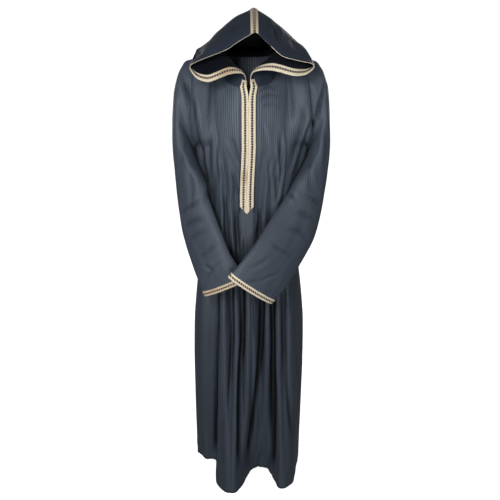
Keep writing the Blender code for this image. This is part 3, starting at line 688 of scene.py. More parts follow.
trim = {
    "ivory": (0.80, 0.74, 0.58, 1),
    "cream": (0.60, 0.49, 0.34, 1),
    "tan": (0.36, 0.20, 0.075, 1),
    "groove": (0.070, 0.044, 0.024, 1),
    "golden": (0.13, 0.058, 0.016, 1),
    "bead": (0.008, 0.007, 0.006, 1),
    "thread": (0.55, 0.49, 0.44, 1),
    "piping": (0.72, 0.64, 0.48, 1),
    "twistPitch": 0.0021,
}


def braidMaterial(name, groove, reach):
    material, tree, shader = newMaterial(name, Roughness=0.5, Sheen_Weight=0.2, Specular_IOR_Level=0.4)
    uv = put(tree, "ShaderNodeUVMap", uv_map="UVMap").outputs[0]
    parts = put(tree, "ShaderNodeSeparateXYZ", {0: uv})
    across, along = parts.outputs[0], parts.outputs[1]
    # The first coordinate is the share across the braid, from 0 to 1
    fromMiddle = sums(tree, "ABSOLUTE", sums(tree, "SUBTRACT", across, 0.5))
    values = {0: fromMiddle, 1: reach, 2: reach + 0.08, 3: 0.9, 4: 0.0}
    inGroove = put(tree, "ShaderNodeMapRange", values).outputs[0]
    values = {0: fromMiddle, 1: 0.12, 2: 0.42, 3: 0.0, 4: 1.0}
    outward = put(tree, "ShaderNodeMapRange", values).outputs[0]
    slant = sums(tree, "MULTIPLY", along, 2 * math.pi / trim["twistPitch"])
    slant = sums(tree, "MULTIPLY_ADD", fromMiddle, 60.0, slant)
    twist = sums(tree, "MULTIPLY_ADD", sums(tree, "SINE", slant), 0.5, 0.5)
    patches = noise(tree, uv, (3, 60, 1), 3.0)
    pale = sums(tree, "MULTIPLY_ADD", patches, 0.5, sums(tree, "MULTIPLY", outward, 0.5))
    colour = blend(tree, pale, trim["cream"], trim["ivory"])
    colour = blend(tree, sums(tree, "MULTIPLY", twist, 0.14), colour, trim["tan"])
    # Tan patches; on the crown braid the tan is painted shade
    colour = blend(tree, sums(tree, "MULTIPLY", attribute(tree, "tan"), 0.85), colour, trim["tan"])
    colour = blend(tree, inGroove, colour, groove)
    dress(tree, shader, colour, twist, 0.0003, 0.6)
    return material


def plainMaterial(name, colour, roughness):
    return newMaterial(name, Roughness=roughness, Sheen_Weight=0.15, Base_Color=colour)[0]


clothMaterial = satinMaterial("satinStripe", *(satin[k] for k in ("stripePitch", "dark", "light")))
# A darker copy of the satin paints the shade that the hood lies in
shadedHoodMaterial = satinMaterial("satinStripeHoodShaded", *(satin[k] for k in ("hoodPitch", "hoodDark", "hoodLight")))
ivoryBraid = braidMaterial("ivoryBraid", trim["groove"], 0.07)
goldenBraid = braidMaterial("goldenBraid", trim["golden"], 0.12)
beadMaterial = plainMaterial("darkBead", trim["bead"], 0.35)
threadMaterial = plainMaterial("paleThread", trim["thread"], 0.5)
pipingMaterial = plainMaterial("ivoryPiping", trim["piping"], 0.5)
print("materials ready")


# Front and back

few = 1
rowSteps = [10 // few] * 15 + [8 // few] * 8
columnSteps = 5

frontPanel = {
    "flat": (0.70, 1.45),
    "area": 0.82,
    "hemBand": 0.018,
    # Unevenness: height and width; how near the side and top seams hold the cloth flat; the dip beside a seam
    "ripple": (0.0008, 0.045),
    "holdSide": 0.007,
    "holdTop": 0.014,
    "seam": (0.0009, 0.0035),
    "creases": [
        # Chest and ribs, as in the photograph
        (-130, -190, -131, -352, 20, 7.5, 5),
        (-105, -200, -99, -368, -20, 6.5, 4),
        (-117, -140, -121, -290, 30, 6, -2),
        (-67, -196, -33, -300, 40, 7.5, 3.6),
        (-57, -304, -41, -400, 20, 6, 3.2),
        (-84, -250, -77, -420, 20, 6.5, 2.4),
        (96, -185, 93.5, -405, 10, 5.5, 6),
        (105, -165, 101, -330, 10, 6, -2.2),
        (176, -60, 122, -330, 30, 12, 5),
        (62, -250, 71, -405, -30, 6.5, 2.2),
        (35, -150, 52, -290, 50, 8.5, 1.8),
        # Edges of the sleeves and the armpits
        (-192, -50, -150, -290, 10, 8, 6),
        (-158, -200, -136, -400, 10, 8, 8),
        (200, -130, 136, -350, 0, 6, 7),
        # Waist
        (-125, -345, -114, -475, 10, 6.5, 5),
        (-84, -375, -73, -560, 10, 6.5, 5.5),
        (-46, -425, -41, -600, 10, 6, 5),
        (-32, -445, -29, -640, 10, 5.5, -3),
        (29, -425, 29, -540, 10, 6, 6),
        (85, -315, 86, -420, 10, 5.5, 4.5),
        (96, -310, 97, -420, 10, 5, -2.2),
        # Round the foot of the hood, and from the shoulders
        (22, -72, 78, -46, 100, 4.2, 4.4),
        (28, -94, 88, -72, 120, 5.5, 3.6),
        (30, -118, 94, -100, 120, 6.5, 2.2),
        # Skirt: soft folds between the large ones
        (-136, -640, -142, -1050, 10, 11, 2.2),
        (-75, -640, -78, -940, -10, 9, 2.2),
        (24, -560, 23, -800, 10, 7, 2.4),
        (-88, -1100, -92, -1380, -10, 12, 2.6),
        (150, -800, 160, -1250, 10, 9.5, 2.6),
        # Small folds over the raised part of the hem
        (26, -1425, 45, -1320, 20, 5, 3.2),
        (62, -1425, 74, -1310, 20, 5, 3.2),
        (92, -1430, 98, -1340, 20, 5.5, 3),
    ],
    # The large folds of the skirt: troughs, then the rounded crests between them
    "folds": [
        (6.5, 12, [(-104, -580), (-107, -700), (-109, -840), (-115, -1020), (-122, -1200), (-126, -1340)]),
        (7.5, 8, [(-62, -560), (-59, -710), (-58, -860), (-63, -980), (-70, -1090)]),
        (8.5, 12, [(-22, -600), (-23, -880), (-32, -970), (-35, -1090), (-36, -1320)]),
        (5.5, 6.5, [(6, -600), (8, -700), (13, -790), (15, -880)]),
        (8.5, 13, [(41, -600), (41, -720), (38, -900), (30, -1020), (13, -1170), (-5, -1320)]),
        (8, 13, [(72, -600), (75, -740), (79, -880), (80, -1000), (81, -1110), (79, -1370)]),
        (8, 7, [(112, -680), (113, -860), (118, -970), (131, -1090), (146, -1230)]),
        (13, -6, [(-84, -580), (-88, -860), (-95, -970), (-99, -1090)]),
        (9, -6, [(-38, -580), (-44, -880), (-52, -1020), (-57, -1180), (-66, -1420)]),
        (12, -6, [(-4, -600), (-6, -930), (-8, -1020), (-18, -1200), (-22, -1300)]),
        (10, -6, [(58, -620), (61, -930), (54, -1070), (43, -1230), (32, -1360)]),
        (9, -6, [(92, -620), (95, -930), (100, -1040), (106, -1180), (112, -1380)]),
        (14, -4, [(136, -700), (143, -1020), (155, -1130)]),
        (18, -4, [(-147, -660), (-147, -1090)]),
    ],
}
backPanel = {
    "flat": (0.62, 1.48),
    "area": 0.72,
    "hemBand": 0.018,
    # Unevenness: height and width; how near the side and top seams hold the cloth flat; the dip beside a seam
    "ripple": (0.0008, 0.05),
    "holdSide": 0.012,
    "holdTop": 0.014,
    "seam": (0.0009, 0.0035),
    "cornerRise": 0.042,
    "creases": [
        (60, -30, 135, -150, -60, 9, 3.2),
        (-55, -20, -130, -130, 60, 9, 3),
        (130, -170, 60, -330, 50, 8, 3.6),
        (-126, -180, -70, -350, -50, 8, 3.4),
        (30, -120, 22, -360, 30, 9, 2.6),
        (-34, -150, -24, -400, -30, 8, 2.4),
        (92, -330, 98, -640, 20, 7, 4),
        (-90, -360, -96, -700, 20, 7, 3.8),
        (48, -420, 52, -800, -10, 6.5, 3.6),
        (-44, -430, -50, -760, 10, 6.5, 3.6),
        (4, -460, 6, -900, 10, 7, 3.6),
        (126, -620, 134, -1050, 10, 7, 3.4),
        (-128, -640, -138, -1080, 10, 7, 3.4),
        (76, -820, 83, -1330, -10, 6.5, 3.8),
        (-72, -860, -80, -1360, 10, 6.5, 3.6),
        (26, -940, 30, -1390, 10, 6.5, 3.4),
        (-30, -900, -34, -1380, -10, 6.5, 3.4),
    ],
    "folds": [
        (8, 10, [(100, -620), (106, -900), (112, -1200), (114, -1460)]),
        (9, 8, [(58, -580), (62, -860), (56, -1140)]),
        (8.5, 11, [(20, -620), (16, -920), (22, -1180), (24, -1460)]),
        (8, 10, [(-28, -600), (-36, -920), (-34, -1200), (-40, -1460)]),
        (9, 9, [(-74, -600), (-82, -920), (-96, -1240)]),
        (10, -6, [(80, -600), (86, -940), (90, -1360)]),
        (11, -6, [(38, -600), (38, -960), (40, -1360)]),
        (11, -6, [(-6, -600), (-10, -940), (-8, -1380)]),
        (10, -6, [(-54, -600), (-60, -940), (-66, -1360)]),
    ],
}


sideSwell = {"front": 0.008, "rear": 0.024, "fromX": 0.110, "z": -0.268, "reach": 0.052, "topZ": -0.236}


def fillSides(grid, behind):
    # Under the arms the sides swell out to the sleeves, more so behind
    x, y, z = grid[..., 0], grid[..., 1], grid[..., 2]
    near = smooth((np.abs(x) - sideSwell["fromX"]) / 0.055)
    near *= np.exp(-(((z - sideSwell["z"]) / sideSwell["reach"]) ** 2)) * smooth((sideSwell["topZ"] - z) / 0.006)
    back = smooth((y - 0.004) / 0.030) if behind else 0.0
    grid[..., 0] += np.sign(x) * near * (sideSwell["front"] + sideSwell["rear"] * back)


def hemThickness(grid, band):
    # The hem is turned up, so its band is thicker
    return clothThickness * (1 + 0.55 * (1 - smooth((lengths(grid, 0) - band) / 0.002)))


def stripeAndShadeShare(z):
    # The woven stripes show on the chest and fade towards the hem, and the lower share there also darkens the cloth
    # as painted shade
    return np.interp(z, [-1.40, -0.60, -0.42, -0.28, -0.15], [0.28, 0.34, 0.42, 0.56, 1.0])


def hang(grid, panel, centre, seed):
    # How far the panel's folds move the cloth along its normals, before the seams hold it
    run = lengths(grid, 1, centre)
    # Stripes keep partly to the folds and partly to the grain, as in a panel cut wider at the hem
    u, v = 0.4 * run + 0.6 * run[len(grid) // 2], lengths(grid, 0, len(grid) - 1)
    plane = grid[..., [0, 2]]
    moved = creaseField(plane, panel["creases"]) + foldField(plane, panel["folds"])
    moved += panel["ripple"][0] * ripples(u, v, seed, panel["ripple"][1])
    return run, np.stack([u, v], -1), moved


frontHalves, frontNormals = {}, {}

def ghost(joinedRow, neighbour, edge, inner):
    # The neighbour's column up to the row where the pieces part, and the cloth's own way on above it
    joined = np.arange(len(neighbour))[:, None] <= joinedRow
    return np.where(joined, neighbour, 2 * edge - inner)


for side in (-1, 1):
    grid = halves[side]
    if side < 0:
        before = ghost(chestRow, back[:, -2], grid[:, 0], grid[:, 1])
        after = ghost(slitRow, halves[1][:, 1], grid[:, -1], grid[:, -2])
    else:
        before = ghost(slitRow, halves[-1][:, -2], grid[:, 0], grid[:, 1])
        after = ghost(chestRow, back[:, 1], grid[:, -1], grid[:, -2])
    frontHalves[side] = refine(grid, rowSteps, [columnSteps] * (grid.shape[1] - 1), before, after)
    fillSides(frontHalves[side], False)
    frontNormals[side] = facing(frontHalves[side])
fineSlit = sum(rowSteps[:slitRow])


def joinHalves():
    # Up to the foot of the slit the halves share their middle line
    line = np.s_[: fineSlit + 1]
    for part in (frontHalves, frontNormals):
        both = part[-1][line, -1] + part[1][line, 0]
        part[-1][line, -1] = part[1][line, 0] = both / 2 if part is frontHalves else unit(both)


joinHalves()
frontUv, frontStripeAndShade, frontDeep = {}, {}, {}
for side in (-1, 1):
    grid = frontHalves[side]
    run, uv, moved = hang(grid, frontPanel, grid.shape[1] - 1 if side < 0 else 0, 3)
    frontUv[side] = uv
    # Beside the braid the cloth dips and lies in its shadow
    beside = dip(np.abs(run) - braidWidth - 0.003, 1.0, 0.0028) * (np.arange(len(grid)) > fineSlit)[:, None]
    # The stripe share also paints shade towards the hem
    frontStripeAndShade[side] = stripeAndShadeShare(grid[..., 2])
    frontDeep[side] = np.maximum(deepness(moved), 0.75 * beside)
    # The braid and the seams hold the cloth flat
    stiff = smooth((np.abs(run) - 0.020) / 0.012)
    stiff = np.where((np.arange(len(grid)) > fineSlit - 12)[:, None], stiff, 1.0)
    fromSeam = np.abs(run[:, [0 if side < 0 else -1]]) - np.abs(run)
    moved *= stiff * smooth(fromSeam / frontPanel["holdSide"]) * smooth(np.abs(uv[..., 1]) / frontPanel["holdTop"])
    moved -= 0.0012 * beside + dip(fromSeam, *frontPanel["seam"])
    frontHalves[side] = grid + frontNormals[side] * moved[..., None]
    frontNormals[side] = facing(frontHalves[side])
joinHalves()

rows, leftColumns = frontHalves[-1].shape[:2]
rightColumns = frontHalves[1].shape[1]
first = rows * leftColumns
quads = np.concatenate([gridQuads(rows, leftColumns), gridQuads(rows, rightColumns, first)])
# One set of points along the shared line
merge = np.arange(first + rows * rightColumns)
merge[first + np.arange(fineSlit + 1) * rightColumns] = (np.arange(fineSlit + 1) + 1) * leftColumns - 1
used, quads = np.unique(merge[quads], return_inverse=True)
frontThick = {side: hemThickness(frontHalves[side], frontPanel["hemBand"]) for side in (-1, 1)}
points, normals, uv, thick, stripe, deep = (
    np.concatenate([part[side].reshape(rows * part[side].shape[1], -1) for side in (-1, 1)])[used]
    for part in (frontHalves, frontNormals, frontUv, frontThick, frontStripeAndShade, frontDeep)
)
frontCloth = addCloth("frontCloth", points, normals, uv, quads.reshape(-1, 4), thick, clothMaterial, stripe, deep)
claim(frontCloth, "front_panel")
print("front ready", len(frontCloth.data.polygons))

before = ghost(chestRow, front[:, -2], back[:, 0], back[:, 1])
after = ghost(chestRow, front[:, 1], back[:, -1], back[:, -2])
fineBack = refine(back, rowSteps, [columnSteps + 1] * (back.shape[1] - 1), before, after)
# The left corner of the hem is rounded off
corner = smooth((-0.120 - fineBack[..., 0]) / 0.070) * smooth((0.110 - fineBack[..., 1]) / 0.110)
fineBack[..., 2] += backPanel["cornerRise"] * corner * smooth((-1.22 - fineBack[..., 2]) / 0.16)
fillSides(fineBack, True)
backNormals = facing(fineBack)
run, uv, moved = hang(fineBack, backPanel, fineBack.shape[1] // 2, 5)
fromSeam = np.where(run < 0, np.abs(run[:, [0]]), np.abs(run[:, [-1]])) - np.abs(run)
moved *= smooth(fromSeam / backPanel["holdSide"]) * smooth(np.abs(uv[..., 1]) / backPanel["holdTop"])
moved -= dip(fromSeam, *backPanel["seam"])
fineBack = fineBack + backNormals * moved[..., None]
backCloth = addCloth(
    "backCloth",
    fineBack,
    facing(fineBack),
    uv,
    gridQuads(*fineBack.shape[:2]),
    hemThickness(fineBack, backPanel["hemBand"]),
    clothMaterial,
    # The stripe share also paints shade towards the hem
    stripeAndShadeShare(fineBack[..., 2]),
    deepness(moved),
)
claim(backCloth, "back_panel")
print("back ready", len(backCloth.data.polygons))


# Sleeves

sleeveCloth = {
    "flat": {-1: (0.42, 0.60), 1: (0.45, 0.66)},
    "area": {-1: 0.225, 1: 0.264},
    "ripple": (0.0007, 0.05),
    "holdSeam": 0.012,
    "cuffBand": 0.024,
    "seam": (0.0012, 0.0032),
    "armSeam": (0.0010, 0.0035),
    # Where along the arm the stripes change, and how strong they are there
    "stripe": ([0.0, 0.12, 0.40], [0.95, 0.80, 0.64]),
    "front": {
        -1: [
            (-216, 0, -158, -210, 10, 8, 7),
            (-212, -150, -196, -270, 40, 8.5, 2.8),
            (-228, -120, -216, -330, 30, 9, 3),
            (-194, -290, -189, -440, 50, 8, 3.4),
            (-226, -455, -150, -405, 120, 7, 4.6),
            (-218, -500, -140, -455, 140, 7, 4.2),
            (-204, -540, -126, -490, 120, 6.5, 3.6),
            (-176, -585, -105, -520, -60, 7, 3.2),
            (-150, -600, -112, -618, 80, 5.5, 3),
            (-150, -655, -80, -575, 40, 7, 2.6),
            (-100, -655, -40, -600, -50, 6.5, 2.4),
        ],
        1: [
            (180, -35, 190, -130, 10, 8, 7),
            (187, -100, 197, -200, 10, 8, 5.5),
            (243, -20, 176, -225, 10, 6, 7),
            (232, -150, 236, -330, 30, 8, 2.8),
            (186, -250, 205, -400, -50, 9, 3.8),
            (113, -376, 150, -394, 100, 5, 3.8),
            (232, -430, 150, -375, -100, 7.5, 4.4),
            (218, -480, 130, -430, -120, 7, 4.2),
            (190, -525, 100, -475, -120, 7, 3.6),
            (150, -575, 60, -500, 60, 7.5, 3.2),
            (-34, -628, 34, -634, 50, 5, 3.6),
            (28, -634, 100, -610, 50, 5, 3),
            (16, -667, 76, -676, 60, 5, 3.2),
            (60, -555, 0, -585, 80, 6.5, 2.6),
        ],
    },
    "rear": {
        -1: [
            (-214, -60, -222, -260, 50, 9, 3.4),
            (-190, -240, -226, -420, 80, 8, 3.4),
            (-150, -430, -216, -480, 100, 7, 3.4),
            (-130, -500, -196, -560, 100, 7, 3),
        ],
        1: [
            (212, -60, 224, -260, -50, 9, 3.4),
            (188, -250, 236, -400, -80, 8, 3.4),
            (130, -450, 210, -470, -100, 7, 3.4),
            (80, -520, 170, -560, -100, 7, 3),
        ],
    },
}


def sleeveFacing(fine, side):
    normals = -side * facing(fine)
    normals[:, 0] = normals[:, -1] = unit(normals[:, 0] + normals[:, -1])
    return normals


sleeveFine, sleeveNormals, sleeveItems = {}, {}, {}
for side, name in sides:
    grid = sleeves[side]
    steps = [8 // few, 8 // few] + [6 // few] * 17
    fine = refine(grid, steps, [6 // few] * (grid.shape[1] - 1), grid[:, -2], grid[:, 1])
    normals = sleeveFacing(fine, side)
    u, v = lengths(fine, 1), lengths(fine, 0)
    # Over the shoulder the stripes keep the way of the arm
    stripes = u.copy()
    cap = sum(steps[:5])
    ahead = unit(np.cross(normals, (0.0, 0.1, 1.0)))
    ahead *= np.sign(np.sum(ahead * np.gradient(fine, axis=1), -1)[cap].sum())
    for r in range(cap - 1, -1, -1):
        stripes[r] = stripes[r + 1] + np.sum((fine[r] - fine[r + 1]) * ahead[r], -1)
    ripple = sleeveCloth["ripple"][0] * ripples(u, v, 11 + side, sleeveCloth["ripple"][1])
    moved = frontRear(fine, normals, sleeveCloth, side) + ripple
    fromSeam = np.minimum(u, u[:, [-1]] - u)
    fromCuff = v[[-1]] - v
    shaded = deepness(moved) * smooth((fromCuff - 0.022) / 0.004)
    fromBand = fromCuff - sleeveCloth["cuffBand"]
    moved *= smooth(fromSeam / sleeveCloth["holdSeam"]) * smooth(v / 0.008) * smooth(fromBand / 0.02)
    moved -= dip(fromSeam, *sleeveCloth["seam"]) * smooth(fromBand / 0.01) + dip(v, *sleeveCloth["armSeam"])
    fine = fine + normals * moved[..., None]
    normals = sleeveFacing(fine, side)
    sleeveFine[side], sleeveNormals[side] = fine, normals
    item = addCloth(
        name + "SleeveCloth",
        fine,
        normals,
        np.stack([stripes, v], -1),
        gridQuads(*fine.shape[:2], turned=side > 0),
        clothThickness,
        clothMaterial,
        np.interp(v, *sleeveCloth["stripe"]),
        shaded,
    )
    claim(item, name + "_sleeve")
    sleeveItems[side] = item
print("sleeves ready", len(item.data.polygons))


# Hood

hoodCloth = {
    "flat": (0.36, 0.52),
    "area": 0.152,
    "stripe": 0.72,
    # Painted shade on the hood's inner face, which lies in shadow
    "shade": 0.9,
    "ripple": (0.0007, 0.05),
    "front": {
        -1: [
            (-30, 150, -85, 95, 80, 8, 2.2),
            (-70, 70, -150, 52, 60, 8, 2),
            (-45, -10, -100, -24, 100, 6, 2),
            (-150, 60, -160, 25, 100, 7, 2.4),
        ],
        1: [
            (71, 128, 86, 78, 60, 7.5, 4.6),
            (45, 160, 60, 110, 50, 8, 2.2),
            (120, 90, 150, 55, 80, 8, 2.2),
            (24, -48, 70, -26, 120, 4, 3.4),
            (30, -34, 62, -20, 100, 4, 2.6),
        ],
    },
    # Where the outline stands out from the solid or lies behind it
    "outline": {
        -1: [
            (-20, 195, -100, 128, -50, 26, -3),
            (-118, 128, -192, 0, -60, 24, 7),
        ],
        1: [],
    },
    "rear": {
        -1: [
            (-30, 120, -90, 70, 80, 9, 3),
            (-20, 50, -70, 20, 100, 8, 3),
        ],
        1: [
            (36, 118, 94, 60, -80, 9, 3),
            (22, 46, 64, 10, -100, 8, 3),
        ],
    },
}
hoodFine, hoodNormals, hoodItems, hoodDeep = {}, {}, {}, {}
hoodStep = 6 // few
for side, grid in hoods.items():
    steps = [[hoodStep] * (size - 1) for size in grid.shape[:2]]
    hoodFine[side] = refine(grid, *steps, None, hoods[-side][:, -2])
hoodFine[-1][:, -1] = hoodFine[1][:, -1] = (hoodFine[-1][:, -1] + hoodFine[1][:, -1]) / 2
for side, fine in hoodFine.items():
    normals = -side * facing(fine)
    u, v = lengths(fine, 0), lengths(fine, 1)
    moved = frontRear(fine, normals, hoodCloth, side) + creaseField(fine[..., [0, 2]], hoodCloth["outline"][side])
    moved += hoodCloth["ripple"][0] * ripples(u, v, 21 + side, hoodCloth["ripple"][1])
    fromCrown = v[:, [-1]] - v
    moved *= smooth((u - 0.023) / 0.02) * smooth(v / 0.012) * smooth((fromCrown - 0.013) / 0.012)
    moved *= smooth((u[[-1]] - u) / 0.012)
    hoodDeep[side] = deepness(moved)
    hoodFine[side] = fine + normals * moved[..., None]
for side, name in sides:
    fine = hoodFine[side]
    normals = -side * facing(fine)
    for seam in (np.s_[:, -1], np.s_[-1]):
        normals[seam] = unit(normals[seam] * (0, 1, 1))
    hoodNormals[side] = normals
    item = addCloth(
        name + "HoodCloth",
        fine,
        normals,
        np.stack([lengths(fine, 0), lengths(fine, 1)], -1),
        gridQuads(*fine.shape[:2], turned=side > 0),
        clothThickness,
        shadedHoodMaterial,
        np.full(fine.shape[:2], hoodCloth["stripe"]),
        hoodDeep[side],
        hoodCloth["shade"],
    )
    claim(item, name + "_hood")
    hoodItems[side] = item
print("hood ready", len(item.data.polygons))


# Braids

braid = {
    "rowStep": 0.0025,
    "beadLift": 0.0007,
    "lift": clothThickness / 2 + seamGap,
    # Length of the slanted stretch at the foot of the slit, and height of the end that is turned under
    "slanted": 0.045,
    "plump": 0.0021,
}
# Bead: across, along, height, slant in degrees; thread the same; then the pitch and how golden the braid is
braidLooks = {
    "left_placket_braid": ((0.0086, 0.0054, 0.0036), 28, (0.0080, 0.0012, 0.0022), -38, 0.0078, 0.0),
    "right_placket_braid": ((0.0078, 0.0064, 0.0036), 8, (0.0080, 0.0012, 0.0022), 0, 0.0080, 0.0),
    "left_cuff_braid": ((0.0044, 0.0082, 0.0026), 12, (0.0075, 0.0012, 0.0020), -35, 0.0085, 0.45),
    "right_cuff_braid": ((0.0100, 0.0036, 0.0032), 32, (0.0085, 0.0014, 0.0022), 30, 0.0080, 0.0),
    "left_hood_braid": ((0.0086, 0.0052, 0.0036), -26, (0.0080, 0.0012, 0.0022), 38, 0.0078, 0.0),
    "right_hood_braid": ((0.0086, 0.0052, 0.0036), 26, (0.0080, 0.0012, 0.0022), -38, 0.0078, 0.0),
    "hood_crown_braid": ((0.0056, 0.0044, 0.0030), 0, (0.0075, 0.0011, 0.0018), 0, 0.0110, 0.12),
}
# Heights across the braid: a cord on either side of the groove in the middle
profileAt = np.array([0, 0.02, 0.07, 0.15, 0.24, 0.33, 0.40, 0.45, 0.50, 0.55, 0.60, 0.67, 0.76, 0.85, 0.93, 0.98, 1])
profileHeight = np.array([0.5, 0.95, 1.35, 1.6, 1.65, 1.5, 1.2, 0.9, 0.8])
profileHeight = 0.001 * np.concatenate([profileHeight, profileHeight[-2::-1]])


def acrossStrip(points):
    # Columns at the profile's stations over the strip, each line of it by its own length
    return np.array([walk(line, profileAt * runs(line)[-1]) for line in points])


def alongStrip(points, starts=None):
    middle = points[:, len(profileAt) // 2]
    count = max(int(runs(middle)[-1] / braid["rowStep"]), 8)
    out = []
    for c in range(points.shape[1]):
        run = runs(points[:, c])
        t = np.linspace(0, 1, count + 1) * run[-1]
        if starts is not None:
            # Only the first stretch is slanted
            slanted = braid["slanted"]
            t = np.where(t < slanted, starts[c] + t * (slanted - starts[c]) / slanted, t)
        out.append(walk(points[:, c], t))
    return np.stack(out, 1)


tanAndShadeSpots = {
    "left_placket_braid": [((-0.0095, -0.328), 0.022, 0.75)],
    "left_hood_braid": [((-0.072, -0.010), 0.034, 0.8), ((-0.050, 0.000), 0.020, 0.5)],
    "left_cuff_braid": [((-0.125, -0.668), 0.030, 0.85), ((-0.105, -0.655), 0.022, 0.6)],
    # On the crown the tan spot is painted shade, on the top of the braid where it lies in shadow
    "hood_crown_braid": [((0.004, 0.175), 0.040, 0.5)],
}


def repeatTree():
    tree = bpy.data.node_groups.new("repeatAlongBraid", "GeometryNodeTree")
    tree.is_modifier = True
    sockets = ("Geometry", "NodeSocketGeometry"), ("Size", "NodeSocketVector"), ("Turn", "NodeSocketVector")
    for label, kind in sockets + (("Material", "NodeSocketMaterial"),):
        tree.interface.new_socket(label, in_out="INPUT", socket_type=kind)
    tree.interface.new_socket("Geometry", in_out="OUTPUT", socket_type="NodeSocketGeometry")
    start = tree.nodes.new("NodeGroupInput")
    ball = put(tree, "GeometryNodeMeshIcoSphere", {"Radius": 0.5, "Subdivisions": 2})
    shape = put(
        tree,
        "GeometryNodeTransform",
        {"Geometry": ball.outputs[0], "Rotation": start.outputs["Turn"], "Scale": start.outputs["Size"]},
    )
    facingNode = put(tree, "GeometryNodeInputNamedAttribute", {"Name": "facing"}, data_type="FLOAT_VECTOR")
    alongNode = put(tree, "GeometryNodeInputNamedAttribute", {"Name": "along"}, data_type="FLOAT_VECTOR")
    axes = put(
        tree,
        "FunctionNodeAxesToRotation",
        {"Primary Axis": facingNode.outputs[0], "Secondary Axis": alongNode.outputs[0]},
        primary_axis="Z",
        secondary_axis="Y",
    )
    values = {"Points": start.outputs["Geometry"], "Instance": shape.outputs[0], "Rotation": axes.outputs[0]}
    placed = put(tree, "GeometryNodeInstanceOnPoints", values)
    real = put(tree, "GeometryNodeRealizeInstances", {"Geometry": placed.outputs[0]})
    soft = put(tree, "GeometryNodeSetShadeSmooth", {"Geometry": real.outputs[0]})
    values = {"Geometry": soft.outputs[0], "Material": start.outputs["Material"]}
    painted = put(tree, "GeometryNodeSetMaterial", values)
    put(tree, "NodeGroupOutput", {"Geometry": painted.outputs[0]})
    return tree


repeatGroup = repeatTree()


def repeat(name, places, facings, alongs, size, turn, material):
    mesh = bpy.data.meshes.new(name)
    mesh.from_pydata(places.tolist(), [], [])
    for key, values in (("facing", facings), ("along", alongs)):
        layer = mesh.attributes.new(key, "FLOAT_VECTOR", "POINT")
        layer.data.foreach_set("vector", values.astype(np.float32).ravel())
    item = bpy.data.objects.new(name, mesh)
    bpy.context.scene.collection.objects.link(item)
    modifier = item.modifiers.new("repeat", "NODES")
    modifier.node_group = repeatGroup
    ids = {s.name: s.identifier for s in repeatGroup.interface.items_tree if s.in_out == "INPUT"}
    modifier[ids["Size"]] = size
    modifier[ids["Turn"]] = (0.0, 0.0, math.radians(turn))
    modifier[ids["Material"]] = material
    graph = bpy.context.evaluated_depsgraph_get()
    made = bpy.data.meshes.new_from_object(item.evaluated_get(graph))
    item.modifiers.clear()
    item.data = made
    made.name = name
    return item


def addBraid(node, strip, outside, starts=None, endRoll=False):
    # strip runs lengthwise in its rows, and its columns go across the braid; outside is the way out at its first row
    beadSize, beadSlant, threadSize, threadSlant, pitch, golden = braidLooks[node]
    tape = alongStrip(acrossStrip(strip), starts)
    normals = facing(tape)
    flip = 1 if normals[len(profileAt) // 2, len(profileAt) // 2] @ outside > 0 else -1
    normals = normals * flip
    rows, columns = tape.shape[:2]
    run = runs(tape[:, columns // 2])
    height = np.tile(profileHeight, (rows, 1))
    ends = np.minimum(run, run[-1] - run)[:, None]
    height = height * (0.75 + 0.25 * smooth(ends / 0.003))
    if endRoll:
        # The end is turned under and lies flat and plump across the braid
        roll = np.exp(-(((run[-1] - run - 0.003) / 0.0026) ** 2))[:, None]
        plump = braid["plump"] * np.sin(np.pi * np.clip(profileAt, 0.04, 0.96)) ** 0.3
        height = height * (1 - roll) + np.maximum(height, plump) * roll
    top = tape + normals * (braid["lift"] + height)[..., None]
    bottom = tape + normals * braid["lift"]
    quads = gridQuads(rows, columns, turned=flip < 0)
    faces = closeShell(quads, rows * columns)
    points = np.concatenate([top.reshape(-1, 3), bottom.reshape(-1, 3)])
    share = np.tile(profileAt, (rows, 1))
    if endRoll:
        share = np.where((run[-1] - run < 0.0055)[:, None], 0.86, share)
    uv = np.stack([share, np.tile(run[:, None], (1, columns))], -1).reshape(-1, 2)
    # Golden tint and tan spots, the crown's spot being painted shade
    tan = np.full((rows, columns), golden)
    for (x, z), size, amount in tanAndShadeSpots.get(node, []):
        gap = np.linalg.norm(tape[..., [0, 2]] - (x, z), axis=-1)
        tan = np.maximum(tan, amount * np.exp(-((gap / size) ** 2)))
    marks = {"tan": np.tile(tan.ravel(), 2)}
    paint = goldenBraid if "crown" in node else ivoryBraid
    tapeItem = addMesh(node + "_tape", points, faces, np.tile(uv, (2, 1)), [paint], 2 * len(quads), marks)
    claim(tapeItem, node)
    # Beads sit in the groove
    line = top[:, columns // 2]
    marks = np.arange(pitch * 0.6, run[-1] - 0.004 - (0.004 if endRoll else 0), pitch)
    if starts is not None:
        marks = marks[marks > max(starts) * 0.2]
    guides = line, normals[:, columns // 2], unit(np.gradient(line, axis=0))
    pieces = []
    for kind, where, size, slant, paint in (
        ("beads", marks, beadSize, beadSlant, beadMaterial),
        ("threads", marks[:-1] + pitch / 2, threadSize, threadSlant, threadMaterial),
    ):
        places, out, along = (np.stack([np.interp(where, run, guide[:, k]) for k in range(3)], 1) for guide in guides)
        places = places + unit(out) * braid["beadLift"]
        piece = repeat(node.replace("braid", kind), places, unit(out), unit(along), size, slant, paint)
        claim(piece, node)
        pieces.append(piece)
    return tapeItem, pieces, run[-1]


